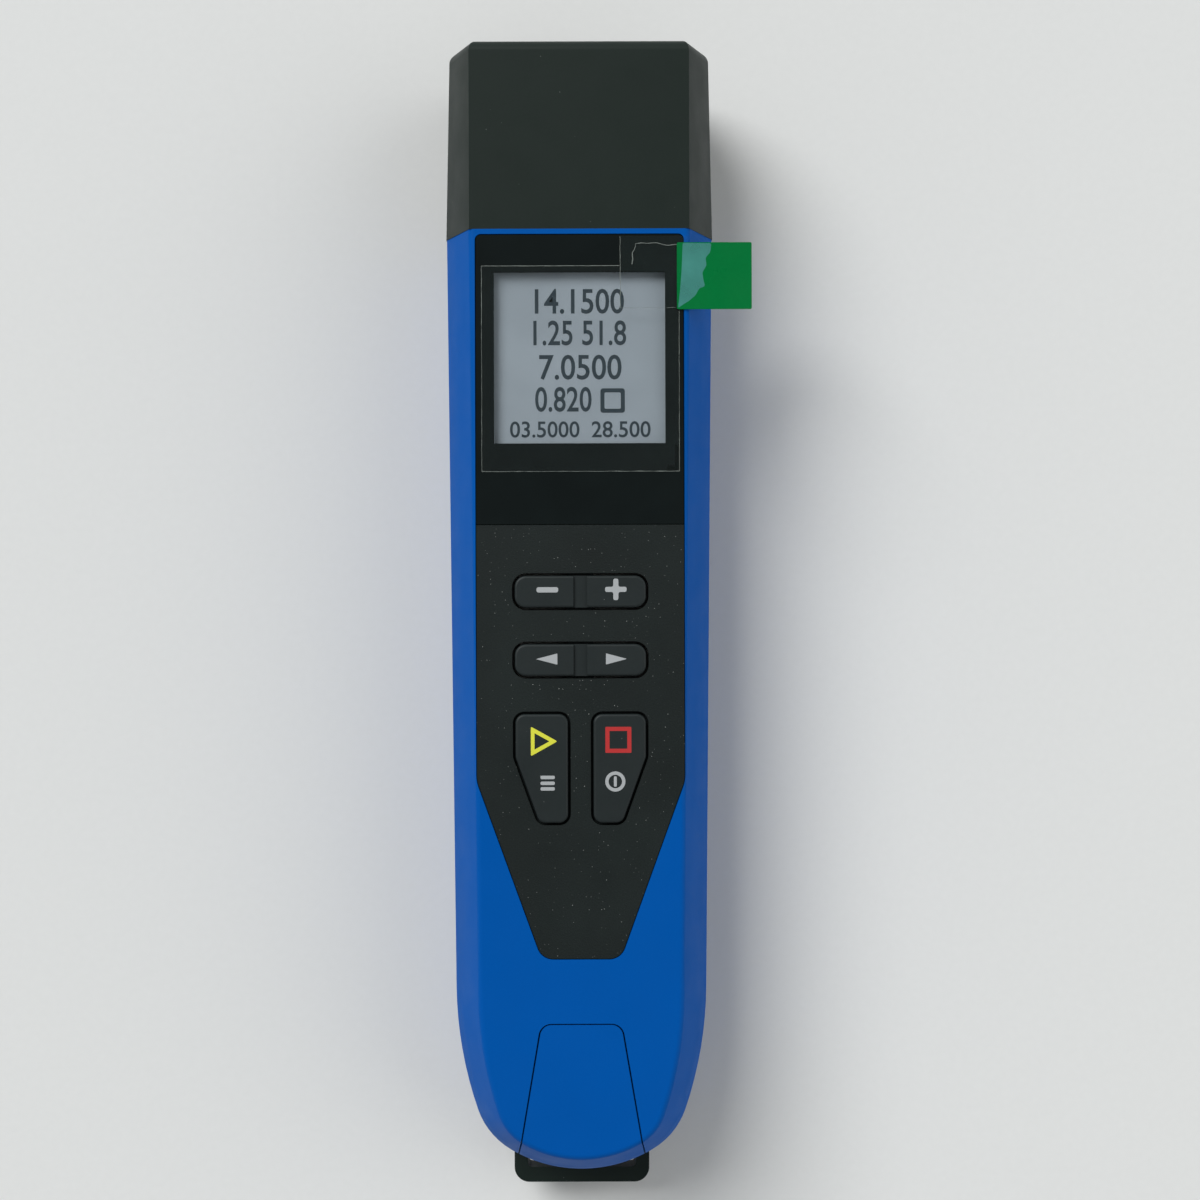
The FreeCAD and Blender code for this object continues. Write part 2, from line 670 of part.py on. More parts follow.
past_head = box("past_head", WHOLE_X, ("head_end", FAR), WHOLE_Z)


# Fascia outline, shared by the fascia and its recess
def fascia_corners(grow):
    lean = "atan((fascia_half - fascia_foot_half) / (fascia_foot - fascia_waist))"
    side = "fascia_half + %s" % grow
    head = "fascia_head + %s" % grow
    waist = "-fascia_waist - %s * tan(%s / 2)" % (grow, lean)
    foot = "-fascia_foot - %s" % grow
    foot_half = "fascia_foot_half + %s * tan(atan(1) - %s / 2)" % (grow, lean)
    right = [(foot_half, foot), (side, waist), (side, head)]
    left = [("-(%s)" % across, along) for across, along in reversed(right)]
    return right + left


def fascia_body(label, grow, foot, height):
    body = new_body(label)
    corners = fascia_corners(grow)
    pad(body, polygon(body, "XY_Plane", foot, corners), height)
    round_body(body, "fascia_corner + " + grow, upright_at(corners[2:4]))
    round_body(body, "waist_corner + " + grow, upright_at([corners[1], corners[4]]))
    round_body(body, "foot_corner + " + grow, upright_at([corners[0], corners[5]]))
    return body


# Key outlines, shared by the keys, their rims and the fascia's openings
def rocker_corners(place, grow):
    half = "rocker_length / 2 + %s" % grow
    rise = "rocker_width / 2 + %s" % grow
    x = ("-(%s)" % half, half)
    y = ("(%s) - (%s)" % (place, rise), "(%s) + (%s)" % (place, rise))
    return rectangle(x, y)


def tall_corners(side, grow):
    """Tall key outline; side is -1 for the left key and 1 for the right one."""
    lean = "atan((tall_outer - tall_foot_outer) / (tall_foot - tall_waist))"
    corners = [
        ("tall_inner - %s" % grow, "-tall_foot - %s" % grow),
        ("tall_foot_outer + %s * tan(atan(1) - %s / 2)" % (grow, lean), "-tall_foot - %s" % grow),
        ("tall_outer + %s" % grow, "-tall_waist - %s * tan(%s / 2)" % (grow, lean)),
        ("tall_outer + %s" % grow, "-tall_head + %s" % grow),
        ("tall_inner - %s" % grow, "-tall_head + %s" % grow),
    ]
    if side > 0:
        return corners
    return [("-(%s)" % across, along) for across, along in reversed(corners)]


ROCKERS = {"minus_plus_key": "minus_plus_place", "arrow_key": "-arrow_place"}
TALL_KEYS = {"run_key": -1, "stop_key": 1}
FASCIA_FLOOR = "case_depth - recess_depth"

# Front shell: moulded front half with its bosses, posts and openings
front_full = front_form("front_full", "seam_height", None, ZERO)
front_outer = cut("front_outer", front_full, past_head)
front_soft = rounded("front_soft", front_full, "front_edge_radius", at_height("case_depth"))
front_round = cut("front_round", front_soft, past_head)
tail_block = box("tail_block", WHOLE_X, ("-(%s)" % FAR, "-block_face"), WHOLE_Z)
front_cavity = cut("front_cavity",
                   front_form("front_hollow", "seam_height", "side_wall", "front_wall"), tail_block)
front_walls = cut("front_walls", front_round, front_cavity)

boss_spots = []
for side_sign in ("", "-"):
    boss_spots.append((side_sign + "boss_side", "boss_head"))
    boss_spots.append((side_sign + "boss_side", "-boss_foot"))
post_spots = []
for side_sign in ("", "-"):
    post_spots.append((side_sign + "post_side", "post_head"))
    post_spots.append((side_sign + "post_foot_side", "-post_foot"))

standing = []
drilled = []
for index, (across, along) in enumerate(boss_spots, start=1):
    standing.append(rod("front_boss_%d" % index, "boss_radius", (across, along, "seam_height"),
                        "boss_top - seam_height"))
    reach = ("boss_side", "tail_half - rib_bite")
    if across.startswith("-"):
        reach = ("rib_bite - tail_half", "-boss_side")
    web = ("%s - rib_thickness / 2" % along, "%s + rib_thickness / 2" % along)
    standing.append(box("boss_web_%d" % index, reach, web, ("seam_height", "boss_top")))
    drilled.append(rod("pilot_%d" % index, "screw_radius + pilot_play",
                       (across, along, "seam_height - 1"), "boss_top - seam_height"))
for index, (across, along) in enumerate(post_spots, start=1):
    height = "case_depth - front_wall - board_top"
    standing.append(rod("board_post_%d" % index, "post_radius", (across, along, "board_top"),
                        height + " + front_wall / 4"))
    drilled.append(rod("post_hole_%d" % index, "board_screw_radius + pilot_play",
                       (across, along, "board_top - 1"), height + " + 1"))

glass_left = "-glass_width / 2 - glass_gap"
glass_low = "glass_middle - glass_height / 2 - glass_gap"
glass_high = "glass_middle + glass_height / 2 + glass_gap"
display_hole = box("display_hole", (glass_left, "glass_width / 2 + glass_gap"),
                   (glass_low, glass_high), ("board_top", "case_depth"))
keypad_hole = box("keypad_hole", ("-mat_half - keypad_gap", "mat_half + keypad_gap"),
                  ("-mat_foot - keypad_gap", "mat_head + keypad_gap"), ("board_top", "case_depth"))
fascia_recess = fascia_body("fascia_recess", "fascia_fit", FASCIA_FLOOR, "2 * recess_depth")
port_recess = box("port_recess", ("-port_half", "port_half"), ("-(%s)" % FAR, "-port_floor"),
                  ("port_height - port_rise", "port_height + port_rise"))
BOARD_FLOOR = "board_top - board_thickness"
port_passage = box("port_passage", ("-usb_half - usb_fit", "usb_half + usb_fit"),
                   ("-port_floor - 1", "1 - block_face"),
                   (BOARD_FLOOR + " - usb_rise - usb_fit", BOARD_FLOOR + " + usb_fit"))


def cover_prism(label, grow, foot):
    """The port cover's outline, widening towards the tail, drawn out along Z."""
    body = new_body(label)
    head = "%s - cover_head" % grow
    reach = "tail_reach + 3"
    low_half = "cover_half + %s + (%s - cover_head) * cover_spread" % (grow, reach)
    high_half = "cover_half + %s" % grow
    corners = [
        ("-(%s)" % low_half, "-(%s)" % reach),
        (low_half, "-(%s)" % reach),
        (high_half, head),
        ("-(%s)" % high_half, head),
    ]
    pad(body, polygon(body, "XY_Plane", foot, corners), "2 * case_depth")
    round_body(body, "cover_corner + " + grow, upright_at(corners[2:]))
    return body


under_cover = front_form("under_cover", "seam_height", "cover_skin + cover_under",
                         "cover_skin + cover_under")
cover_recess = common("cover_recess", cut("cover_layer", front_outer, under_cover),
                      cover_prism("cover_room", "cover_gap", "hinge_height - cover_gap"))
hinge_room = box("hinge_room",
                 ("-cover_half - (hinge_place - cover_head) * cover_spread - cover_gap",
                  "cover_half + (hinge_place - cover_head) * cover_spread + cover_gap"),
                 ("-(%s)" % FAR, "hinge_radius + cover_under - hinge_place"),
                 ("hinge_height - hinge_relief", "hinge_height"))
hinge_trough = rod("hinge_trough", "hinge_radius + cover_under",
                   ("-hinge_half - cover_gap", "-hinge_place", "hinge_height"),
                   "2 * hinge_half + 2 * cover_gap", "X")
front_shell = cut("front_shell", fuse("front_with_posts", front_walls, *standing),
                  fascia_recess, display_hole, keypad_hole, port_recess, port_passage,
                  cover_recess, hinge_room, hinge_trough, *drilled)

# Rear shell: moulded rear half with screw wells, gasket groove, pegs and the strap slot
rear_full = rear_form("rear_full", None, ZERO)
rear_outer = cut("rear_outer", rear_full, past_head)
rear_soft = rounded("rear_soft", rear_full, "rear_edge_radius", at_height(ZERO))
rear_round = cut("rear_round", rear_soft, past_head)
rear_walls = cut("rear_walls", rear_round, rear_form("rear_hollow", "side_wall", "rear_wall"))
rear_bosses = [
    rod("rear_boss_%d" % index, "rear_boss_radius", (across, along, "rear_boss_foot"),
        "seam_height - rear_boss_foot")
    for index, (across, along) in enumerate(boss_spots, start=1)
]
pegs = [
    rod("peg_%d" % index, "peg_radius", (across, "-peg_place", "rear_wall / 2"),
        "bracket_high + peg_rise - rear_wall / 2")
    for index, across in enumerate(("peg_side", "-peg_side"), start=1)
]
rear_standing = common("rear_standing", fuse("rear_bosses", *(rear_bosses + pegs)), rear_outer)
wells = []
for index, (across, along) in enumerate(boss_spots, start=1):
    wells.append(rod("screw_hole_%d" % index, "screw_radius + hole_play",
                     (across, along, "-1"), "seam_height + 2"))
    wells.append(rod("screw_well_%d" % index, "head_radius + hole_play",
                     (across, along, "-1"), "screw_seat + 1"))
GROOVE_FOOT = "seam_height - groove_depth"
gasket_outside = slab("gasket_outside", GROOVE_FOOT, "groove_depth", "groove_inset")
gasket_inside = slab("gasket_inside", GROOVE_FOOT, "groove_depth", "groove_inset + groove_width")
seam_gasket = cut("seam_gasket", gasket_outside, gasket_inside, past_head)
bracket_room = box("bracket_room", ("-bracket_half - bracket_fit", "bracket_half + bracket_fit"),
                   ("-(%s)" % FAR, "bracket_fit - bracket_root"),
                   ("bracket_low - bracket_fit", "bracket_high + bracket_fit"))
rear_cut = cut("rear_cut", rear_walls, bracket_room)
label_x = ("-label_half", "label_half")
label_room = box("label_room", ("-label_half - label_play", "label_half + label_play"),
                 ("label_foot - label_play", "label_head + label_play"), ("-1", "label_sink"))
rear_shell = cut("rear_shell", fuse("rear_with_posts", rear_cut, rear_standing),
                 seam_gasket, label_room, *wells)
rear_label = plate("rear_label", label_x, ("label_foot", "label_head"),
                   "label_sink - label_thickness", "label_thickness")

# Strap bracket: flat black loop whose root lies in the tail and drops over two pegs
strap_bracket = new_body("strap_bracket")
bracket_outline = rectangle(("-bracket_half", "bracket_half"), ("-bracket_end", "-bracket_root"))
pad(strap_bracket, polygon(strap_bracket, "XY_Plane", "bracket_low", bracket_outline),
    "bracket_high - bracket_low")
round_body(strap_bracket, "bracket_corner", upright_at(bracket_outline[:2]))
slot_outline = rectangle(("bracket_arm - bracket_half", "bracket_half - bracket_arm"),
                         ("bracket_bar - bracket_end", "-bracket_slot"))
pocket(strap_bracket, polygon(strap_bracket, "XY_Plane", "bracket_low", slot_outline),
       "bracket_high - bracket_low", reverse=True)
round_body(strap_bracket, "bracket_corner / 3", upright_at(slot_outline))
pocket(strap_bracket, discs(strap_bracket, "bracket_low", "peg_radius + pilot_play",
                            [("peg_side", "-peg_place"), ("-peg_side", "-peg_place")]),
       "bracket_high - bracket_low", reverse=True)

# Fasteners
case_screws = []
board_screws = []
for index, (across, along) in enumerate(boss_spots, start=1):
    shank = rod("case_shank_%d" % index, "screw_radius", (across, along, "screw_seat"), "screw_length")
    head = rod("case_head_%d" % index, "head_radius",
               (across, along, "screw_seat - head_height"), "head_height")
    drive = rod("case_drive_%d" % index, "head_radius / 2",
                (across, along, "screw_seat - head_height"), "head_height / 2")
    case_screws.append(cut("case_screw_%d" % index, fuse("case_blank_%d" % index, shank, head), drive))
for index, (across, along) in enumerate(post_spots, start=1):
    shank = rod("board_shank_%d" % index, "board_screw_radius",
                (across, along, BOARD_FLOOR), "board_screw_length")
    head = rod("board_head_%d" % index, "board_head_radius",
               (across, along, BOARD_FLOOR + " - board_head_height"), "board_head_height")
    board_screws.append(fuse("board_screw_%d" % index, shank, head))
case_screw_set = fuse("case_screws", *case_screws)
board_screw_set = fuse("board_screws", *board_screws)

# Main board: fills the front shell, notched round the bosses
board_inset = "side_wall + (board_top - band_top) * %s + board_gap" % FRONT_LEAN
board_blank = slab("board_blank", BOARD_FLOOR, "board_thickness", board_inset)
board_cuts = [
    box("board_head_trim", WHOLE_X, ("board_head", FAR), WHOLE_Z),
    box("board_foot_trim", WHOLE_X, ("-(%s)" % FAR, "board_gap - block_face"), WHOLE_Z),
]
for index, (across, along) in enumerate(boss_spots, start=1):
    board_cuts.append(rod("board_notch_%d" % index, "boss_radius + boss_clearance",
                          (across, along, ZERO), "case_depth"))
for index, (across, along) in enumerate(post_spots, start=1):
    board_cuts.append(rod("board_hole_%d" % index, "board_screw_radius + hole_play",
                          (across, along, ZERO), "case_depth"))
main_board = cut("main_board", board_blank, *board_cuts)

CHIPS = [
    (-11.0, 60.0, 7.0, 5.0),
    (9.5, 60.5, 5.0, 5.0),
    (-15.5, 5.0, 5.0, 8.0),
    (14.0, 2.0, 6.0, 6.0),
    (-15.0, -30.0, 4.0, 7.0),
    (4.0, "19 - block_face", 5.0, 5.0),
    (-8.5, "15 - block_face", 5.0, 5.0),
]
chips = []
for index, (across, along, wide, long) in enumerate(CHIPS, start=1):
    chips.append(box("chip_%d" % index,
                     ("%s - %s / 2" % (across, wide), "%s + %s / 2" % (across, wide)),
                     ("%s - %s / 2" % (along, long), "%s + %s / 2" % (along, long)),
                     (BOARD_FLOOR + " - board_thickness", BOARD_FLOOR)))
board_chips = fuse("board_chips", *chips)

can_outside = box("can_outside", ("-shield_half", "shield_half"), ("shield_foot", "shield_head"),
                  (BOARD_FLOOR + " - shield_height", BOARD_FLOOR))
can_inside = box("can_inside", ("shield_wall - shield_half", "shield_half - shield_wall"),
                 ("shield_foot + shield_wall", "shield_head - shield_wall"),
                 (BOARD_FLOOR + " - shield_height + shield_wall", BOARD_FLOOR))
rf_shield = cut("rf_shield", can_outside, can_inside)

socket_z = (BOARD_FLOOR + " - usb_rise", BOARD_FLOOR)
usb_block = box("usb_block", ("-usb_half", "usb_half"), ("-port_floor", "usb_length - port_floor"),
                socket_z)
usb_hollow = box("usb_hollow", ("usb_wall - usb_half", "usb_half - usb_wall"),
                 ("-port_floor - 1", "usb_depth - port_floor"),
                 (BOARD_FLOOR + " - usb_rise + usb_wall", BOARD_FLOOR + " - usb_wall"))
usb_tongue = box("usb_tongue", ("usb_wall - usb_half + 1", "usb_half - usb_wall - 1"),
                 ("1 - port_floor", "usb_length - port_floor"),
                 (BOARD_FLOOR + " - usb_rise / 2 - usb_wall", BOARD_FLOOR + " - usb_rise / 2 + usb_wall"))
usb_socket = fuse("usb_socket", cut("usb_shell", usb_block, usb_hollow), usb_tongue)

buzzer = rod("buzzer", "buzzer_radius",
             (ZERO, "buzzer_place", BOARD_FLOOR + " - buzzer_height"), "buzzer_height")

# Battery: one cell in a cradle on the rear shell, with two leads to a plug under the board
CELL_HEAD = "cell_length - cell_foot"
cell_can = rod("cell_can", "cell_radius", (ZERO, "-cell_foot", "cell_height"),
               "cell_length - terminal_height", "Y")
cell_tip = rod("cell_tip", "terminal_radius",
               (ZERO, CELL_HEAD + " - terminal_height", "cell_height"), "terminal_height", "Y")
battery_cell = fuse("battery_cell", cell_can, cell_tip)
cradle_base = box("cradle_base", ("-cradle_half", "cradle_half"), ("2 - cell_foot", CELL_HEAD + " - 2"),
                  ("rear_wall", "rear_wall + cradle_floor"))
saddles = []
for name, middle in (("foot", "saddle_place - cell_foot"), ("head", CELL_HEAD + " - saddle_place")):
    saddles.append(box("saddle_" + name, ("-cradle_half", "cradle_half"),
                       (middle + " - saddle_length / 2", middle + " + saddle_length / 2"),
                       ("rear_wall", "cradle_rise")))
cradle_round = rod("cradle_round", "cell_radius + cell_fit", (ZERO, "-cell_foot", "cell_height"),
                   "cell_length", "Y")
battery_cradle = cut("battery_cradle", fuse("cradle_blank", cradle_base, *saddles), cradle_round)
plug_low = BOARD_FLOOR + " - plug_height"
battery_plug = box("battery_plug", ("plug_side - plug_width / 2", "plug_side + plug_width / 2"),
                   ("-plug_place - plug_length / 2", "-plug_place + plug_length / 2"),
                   (plug_low, BOARD_FLOOR))
plug_face = "-plug_place + plug_length / 2"
battery_lead_red = lead("battery_lead_red", "lead_radius", [
    ("terminal_radius / 2", CELL_HEAD, "cell_height"),
    ("terminal_radius / 2", CELL_HEAD + " + 5", "cell_height"),
    ("plug_side - 4", CELL_HEAD + " + 7", "cell_height + 6"),
    ("plug_side - 1.5", CELL_HEAD + " + 3", plug_low + " + plug_height / 2"),
    ("plug_side - 1.5", plug_face, plug_low + " + plug_height / 2"),
])
battery_lead_black = lead("battery_lead_black", "lead_radius", [
    ("terminal_radius", "-cell_foot", "cell_height"),
    ("terminal_radius", "-cell_foot - 6", "cell_height"),
    ("plug_side - 4", "-cell_foot - 5", "cell_height + 6"),
    ("plug_side - 2.5", "-cell_foot + 6", plug_low + " + plug_height / 2"),
    ("plug_side", "-cell_foot + 22", plug_low + " + plug_height / 2"),
    ("plug_side", "-plug_place - plug_length / 2", plug_low + " + plug_height / 2"),
])

# Display stack
GLASS_TOP = FASCIA_FLOOR + " - gasket_thickness"
GLASS_FOOT = GLASS_TOP + " - glass_thickness"
glass_x = ("-glass_width / 2", "glass_width / 2")
glass_y = ("glass_middle - glass_height / 2", "glass_middle + glass_height / 2")
lcd_glass = plate("lcd_glass", glass_x, glass_y, GLASS_FOOT, "glass_thickness")
lcd_backlight = plate("lcd_backlight", glass_x, glass_y, "board_top", GLASS_FOOT + " - board_top")
opening_x = ("-screen_size / 2 - screen_border", "screen_size / 2 + screen_border")
opening_y = ("screen_middle - screen_size / 2 - screen_border",
             "screen_middle + screen_size / 2 + screen_border")
lcd_gasket = plate("lcd_gasket", glass_x, glass_y, GLASS_TOP, "gasket_thickness")
pocket(lcd_gasket, polygon(lcd_gasket, "XY_Plane", GLASS_TOP, rectangle(opening_x, opening_y)),
       "gasket_thickness", reverse=True)
flex_edge = "glass_middle - glass_height / 2"
lcd_flex = fuse("lcd_flex",
                box("flex_fold", ("-glass_width / 4", "glass_width / 4"),
                    (flex_edge + " - 1.2", flex_edge), (GLASS_FOOT, GLASS_FOOT + " + 0.25")),
                box("flex_drop", ("-glass_width / 4", "glass_width / 4"),
                    (flex_edge + " - 1.2", flex_edge + " - 0.95"), ("board_top", GLASS_FOOT + " + 0.25")))

# Fascia with its window, tape and film
fascia = fascia_body("fascia", ZERO, FASCIA_FLOOR, "recess_depth - fascia_drop")
WINDOW_TOP = "case_depth - window_drop"
WINDOW_FLOOR = WINDOW_TOP + " - window_thickness - tape_thickness"
step_outline = rectangle(WHOLE_X, ("window_foot - fascia_fit", FAR))
pocket(fascia, polygon(fascia, "XY_Plane", "case_depth", step_outline), "case_depth - (%s)" % WINDOW_FLOOR)
pocket(fascia, polygon(fascia, "XY_Plane", "case_depth", rectangle(opening_x, opening_y)), "2 * recess_depth")
for place in ROCKERS.values():
    outline = rocker_corners(place, "rocker_gap")
    pocket(fascia, polygon(fascia, "XY_Plane", "case_depth", outline), "2 * recess_depth")
    round_body(fascia, "rocker_corner + rocker_gap", upright_at(outline))
for side in TALL_KEYS.values():
    outline = tall_corners(side, "tall_gap")
    pocket(fascia, polygon(fascia, "XY_Plane", "case_depth", outline), "2 * recess_depth")
    round_body(fascia, "tall_corner + tall_gap", upright_at(outline))

window_x = ("-fascia_half", "fascia_half")
window_y = ("window_foot", "fascia_head")


def window_sheet(label, foot, height):
    body = plate(label, window_x, window_y, foot, height)
    round_body(body, "fascia_corner", upright_at(rectangle(window_x, window_y)[2:]))
    return body


display_window = window_sheet("display_window", WINDOW_TOP + " - window_thickness", "window_thickness")
window_tape = window_sheet("window_tape", WINDOW_FLOOR, "tape_thickness")
pocket(window_tape, polygon(window_tape, "XY_Plane", WINDOW_FLOOR, rectangle(opening_x, opening_y)),
       "tape_thickness", reverse=True)
screen_film = plate("screen_film", ("-film_left", "film_right"), ("film_foot", "film_head"),
                    WINDOW_TOP, "film_thickness")
STRIP_FOOT = "case_depth"
film_tape = plate("film_tape", ("strip_left", "strip_right"), ("strip_foot", "strip_head"),
                  STRIP_FOOT, "strip_thickness")
pull_tab = plate("pull_tab", ("tab_left", "tab_right"), ("tab_foot", "tab_head"),
                 STRIP_FOOT + " + strip_thickness", "tab_thickness", "tab_corner")

# Keypad: snap domes on the board, a mat over them, keys held under the fascia
dome_spots = []
for place in ROCKERS.values():
    dome_spots.append(("stem_reach", place))
    dome_spots.append(("-stem_reach", place))
dome_spots.append(("tall_stem", "-tall_stem_place"))
dome_spots.append(("-tall_stem", "-tall_stem_place"))
domes = []
for index, (across, along) in enumerate(dome_spots, start=1):
    dome = labelled("Part::Cone", "dome_%d" % index)
    bind(dome, {
        "Radius1": "dome_radius",
        "Radius2": "dome_radius / 2",
        "Height": "dome_height",
        "Placement.Base.x": across,
        "Placement.Base.y": along,
        "Placement.Base.z": "board_top",
    })
    domes.append(dome)
snap_domes = fuse("snap_domes", *domes)

mat_x = ("-mat_half", "mat_half")
mat_y = ("-mat_foot", "mat_head")
keypad_mat = plate("keypad_mat", mat_x, mat_y, "board_top", "mat_top - board_top")
inside_mat = rectangle(("mat_thickness - mat_half", "mat_half - mat_thickness"),
                       ("mat_thickness - mat_foot", "mat_head - mat_thickness"))
pocket(keypad_mat, polygon(keypad_mat, "XY_Plane", "board_top", inside_mat),
       "mat_top - board_top - mat_thickness", reverse=True)
pocket(keypad_mat, discs(keypad_mat, "mat_top", "stem_radius + mat_hole_gap", dome_spots),
       "mat_thickness")

KEY_HEIGHT = "key_top - key_floor"


def add_plungers(body, spots, gap):
    """Add the plungers under a key."""
    foot = "board_top + dome_height + %s" % gap
    pad(body, discs(body, foot, "stem_radius", spots), "key_floor - (%s)" % foot)


rockers = {}
for name, place in ROCKERS.items():
    body = new_body(name)
    outline = rocker_corners(place, ZERO)
    pad(body, polygon(body, "XY_Plane", "key_floor", outline), KEY_HEIGHT)
    round_body(body, "rocker_corner", upright_at(outline))
    round_body(body, "key_edge", at_height("key_top"))
    strip = rectangle(("-bridge_width / 2", "bridge_width / 2"),
                      ("%s - rocker_width" % place, "%s + rocker_width" % place))
    pocket(body, polygon(body, "XY_Plane", "key_top", strip), "bridge_sink")
    rim = rectangle(("-rocker_flange", "rocker_flange"),
                    ("%s - rocker_width / 2 - flange_lap" % place,
                     "%s + rocker_width / 2 + flange_lap" % place))
    pad(body, polygon(body, "XY_Plane", "key_floor", rim), "flange_thickness")
    add_plungers(body, [("stem_reach", place), ("-stem_reach", place)], "rock_gap")
    rockers[name] = body

tall_keys = {}
for name, side in TALL_KEYS.items():
    body = new_body(name)
    outline = tall_corners(side, ZERO)
    pad(body, polygon(body, "XY_Plane", "key_floor", outline), KEY_HEIGHT)
    round_body(body, "tall_corner", upright_at(outline))
    round_body(body, "key_edge", at_height("key_top"))
    rim = tall_corners(side, "flange_lap")
    pad(body, polygon(body, "XY_Plane", "key_floor", rim), "flange_thickness")
    stem = "tall_stem" if side > 0 else "-tall_stem"
    add_plungers(body, [(stem, "-tall_stem_place")], "press_gap")
    tall_keys[name] = body

# Port cover: flush flap on the tail with a stopper for the port and a hinge bead at its foot
skin_inside = front_form("skin_inside", "seam_height", "cover_skin", "cover_skin")
cover_area = cover_prism("cover_area", ZERO, "hinge_height")
cover_panel = common("cover_panel", cut("cover_shell", front_round, skin_inside), cover_area)
stopper_block = box("stopper_block",
                    ("stopper_side_gap - port_half", "port_half - stopper_side_gap"),
                    ("-(%s)" % FAR, "-stopper_depth"),
                    ("port_height - port_rise + stopper_side_gap",
                     "port_height + port_rise - stopper_top_gap"))
cover_stopper = common("cover_stopper", stopper_block, front_round)
cover_bead = rod("cover_bead", "hinge_radius", ("-hinge_half", "-hinge_place", "hinge_height"),
                 "2 * hinge_half", "X")
port_cover = fuse("port_cover", cover_panel, cover_stopper, cover_bead)


# Head end: neck, antenna socket and pull-off cap
def ring_of_eight(half, inset, front, back):
    """The case's eight-sided section, drawn in by an inset, with its own front and back levels."""
    front_stretch = "hypot(front_inset; case_depth - band_top) / (case_depth - band_top)"
    rear_stretch = "hypot(rear_inset; band_bottom) / band_bottom"
    front_half = "%s - (%s - band_top) * %s - (%s) * %s" % (half, front, FRONT_LEAN, inset, front_stretch)
    rear_half = "%s - (band_bottom - (%s)) * %s - (%s) * %s" % (half, back, REAR_LEAN, inset, rear_stretch)
    side = "%s - (%s)" % (half, inset)
    upper = "band_top + (%s) * (1 - %s) / (%s)" % (inset, front_stretch, FRONT_LEAN)
    lower = "band_bottom - (%s) * (1 - %s) / (%s)" % (inset, rear_stretch, REAR_LEAN)
    right = [(rear_half, back), (side, lower), (side, upper), (front_half, front)]
    left = [("-(%s)" % across, along) for across, along in reversed(right)]
    return right + left


neck_inset = "cap_wall + cap_gap"
neck_section = ring_of_eight("cap_end_half", neck_inset, "(case_depth - cap_wall - cap_gap)",
                             "(cap_wall + cap_gap)")
tongue_section = ring_of_eight("tail_half", "side_wall + tongue_fit",
                               "(case_depth - front_wall - tongue_fit)", "(rear_wall + tongue_fit)")
hollow_section = ring_of_eight("tail_half", "side_wall + tongue_fit + neck_wall",
                               "(case_depth - front_wall - neck_wall)", "(rear_wall + neck_wall)")
connector_neck = new_body("connector_neck")
pad(connector_neck, polygon(connector_neck, "XZ_Plane", "neck_end", neck_section), "neck_end - head_end")
pad(connector_neck, polygon(connector_neck, "XZ_Plane", "head_end", tongue_section),
    "head_end - tongue_root")
pocket(connector_neck, polygon(connector_neck, "XZ_Plane", "neck_end - neck_front_wall", hollow_section),
       "neck_end - neck_front_wall - tongue_root", reverse=True)
pocket(connector_neck, discs(connector_neck, "neck_end", "barrel_radius + stud_play",
                             [(ZERO, "socket_height")], role="XZ_Plane"), "neck_front_wall", reverse=True)

FLANGE_FRONT = "neck_end + flange_width"
connector_body = turned("connector_body", [
    ("stud_root", "bore_radius"),
    ("stud_root", "barrel_radius"),
    ("neck_end", "barrel_radius"),
    ("neck_end", "flange_radius"),
    (FLANGE_FRONT, "flange_radius"),
    (FLANGE_FRONT, "barrel_radius"),
    ("thread_start - relief_width", "barrel_radius"),
    ("thread_start - relief_width", "relief_radius"),
    ("thread_start", "relief_radius"),
    ("thread_start", "barrel_radius"),
    ("barrel_end - mouth_chamfer", "barrel_radius"),
    ("barrel_end", "barrel_radius - mouth_chamfer"),
    ("barrel_end", "bore_radius"),
])
ring_seat = [
    ("neck_end", "ring_radius - ring_thickness"),
    ("neck_end", "ring_radius + ring_thickness"),
    ("neck_end + 2 * ring_thickness", "ring_radius + ring_thickness"),
    ("neck_end + 2 * ring_thickness", "ring_radius - ring_thickness"),
]
seat_sketch = polygon(connector_body, "YZ_Plane", ZERO, ring_seat, lift="socket_height")
feature(connector_body, "Groove", seat_sketch, {}, ReferenceAxis=(seat_sketch, ["H_Axis"]), Angle=360.0)
connector_o_ring = labelled("Part::Torus", "connector_o_ring")
connector_o_ring.Placement = FreeCAD.Placement(Vector(), TURNS["Y"])
bind(connector_o_ring, {
    "Radius1": "ring_radius",
    "Radius2": "ring_thickness",
    "Placement.Base.y": "neck_end + ring_thickness",
    "Placement.Base.z": "socket_height",
})
connector_insulator = turned("connector_insulator", [
    ("stud_root", "pin_radius"),
    ("stud_root", "bore_radius"),
    ("dielectric_face", "bore_radius"),
    ("dielectric_face", "contact_radius"),
    ("contact_root", "contact_radius"),
    ("contact_root", "pin_radius"),
])
contact_whole = turned("contact_whole", [
    ("pin_root", ZERO),
    ("pin_root", "pin_radius"),
    ("contact_root", "pin_radius"),
    ("contact_root", "contact_radius"),
    ("dielectric_face", "contact_radius"),
    ("dielectric_face", "contact_bore"),
    ("dielectric_face - contact_depth", "contact_bore"),
    ("dielectric_face - contact_depth", ZERO),
])
slit_y = ("dielectric_face - slit_depth", "dielectric_face + 1")
contact_wide = ("-contact_radius - 1", "contact_radius + 1")
slit_flat = box("slit_flat", contact_wide, slit_y,
                ("socket_height - slit_width / 2", "socket_height + slit_width / 2"))
slit_tall = box("slit_tall", ("-slit_width / 2", "slit_width / 2"), slit_y,
                ("socket_height - contact_radius - 1", "socket_height + contact_radius + 1"))
centre_contact = cut("centre_contact", contact_whole, slit_flat, slit_tall)
WASHER_FRONT = "neck_end - neck_front_wall"
WASHER_BACK = WASHER_FRONT + " - washer_thickness"
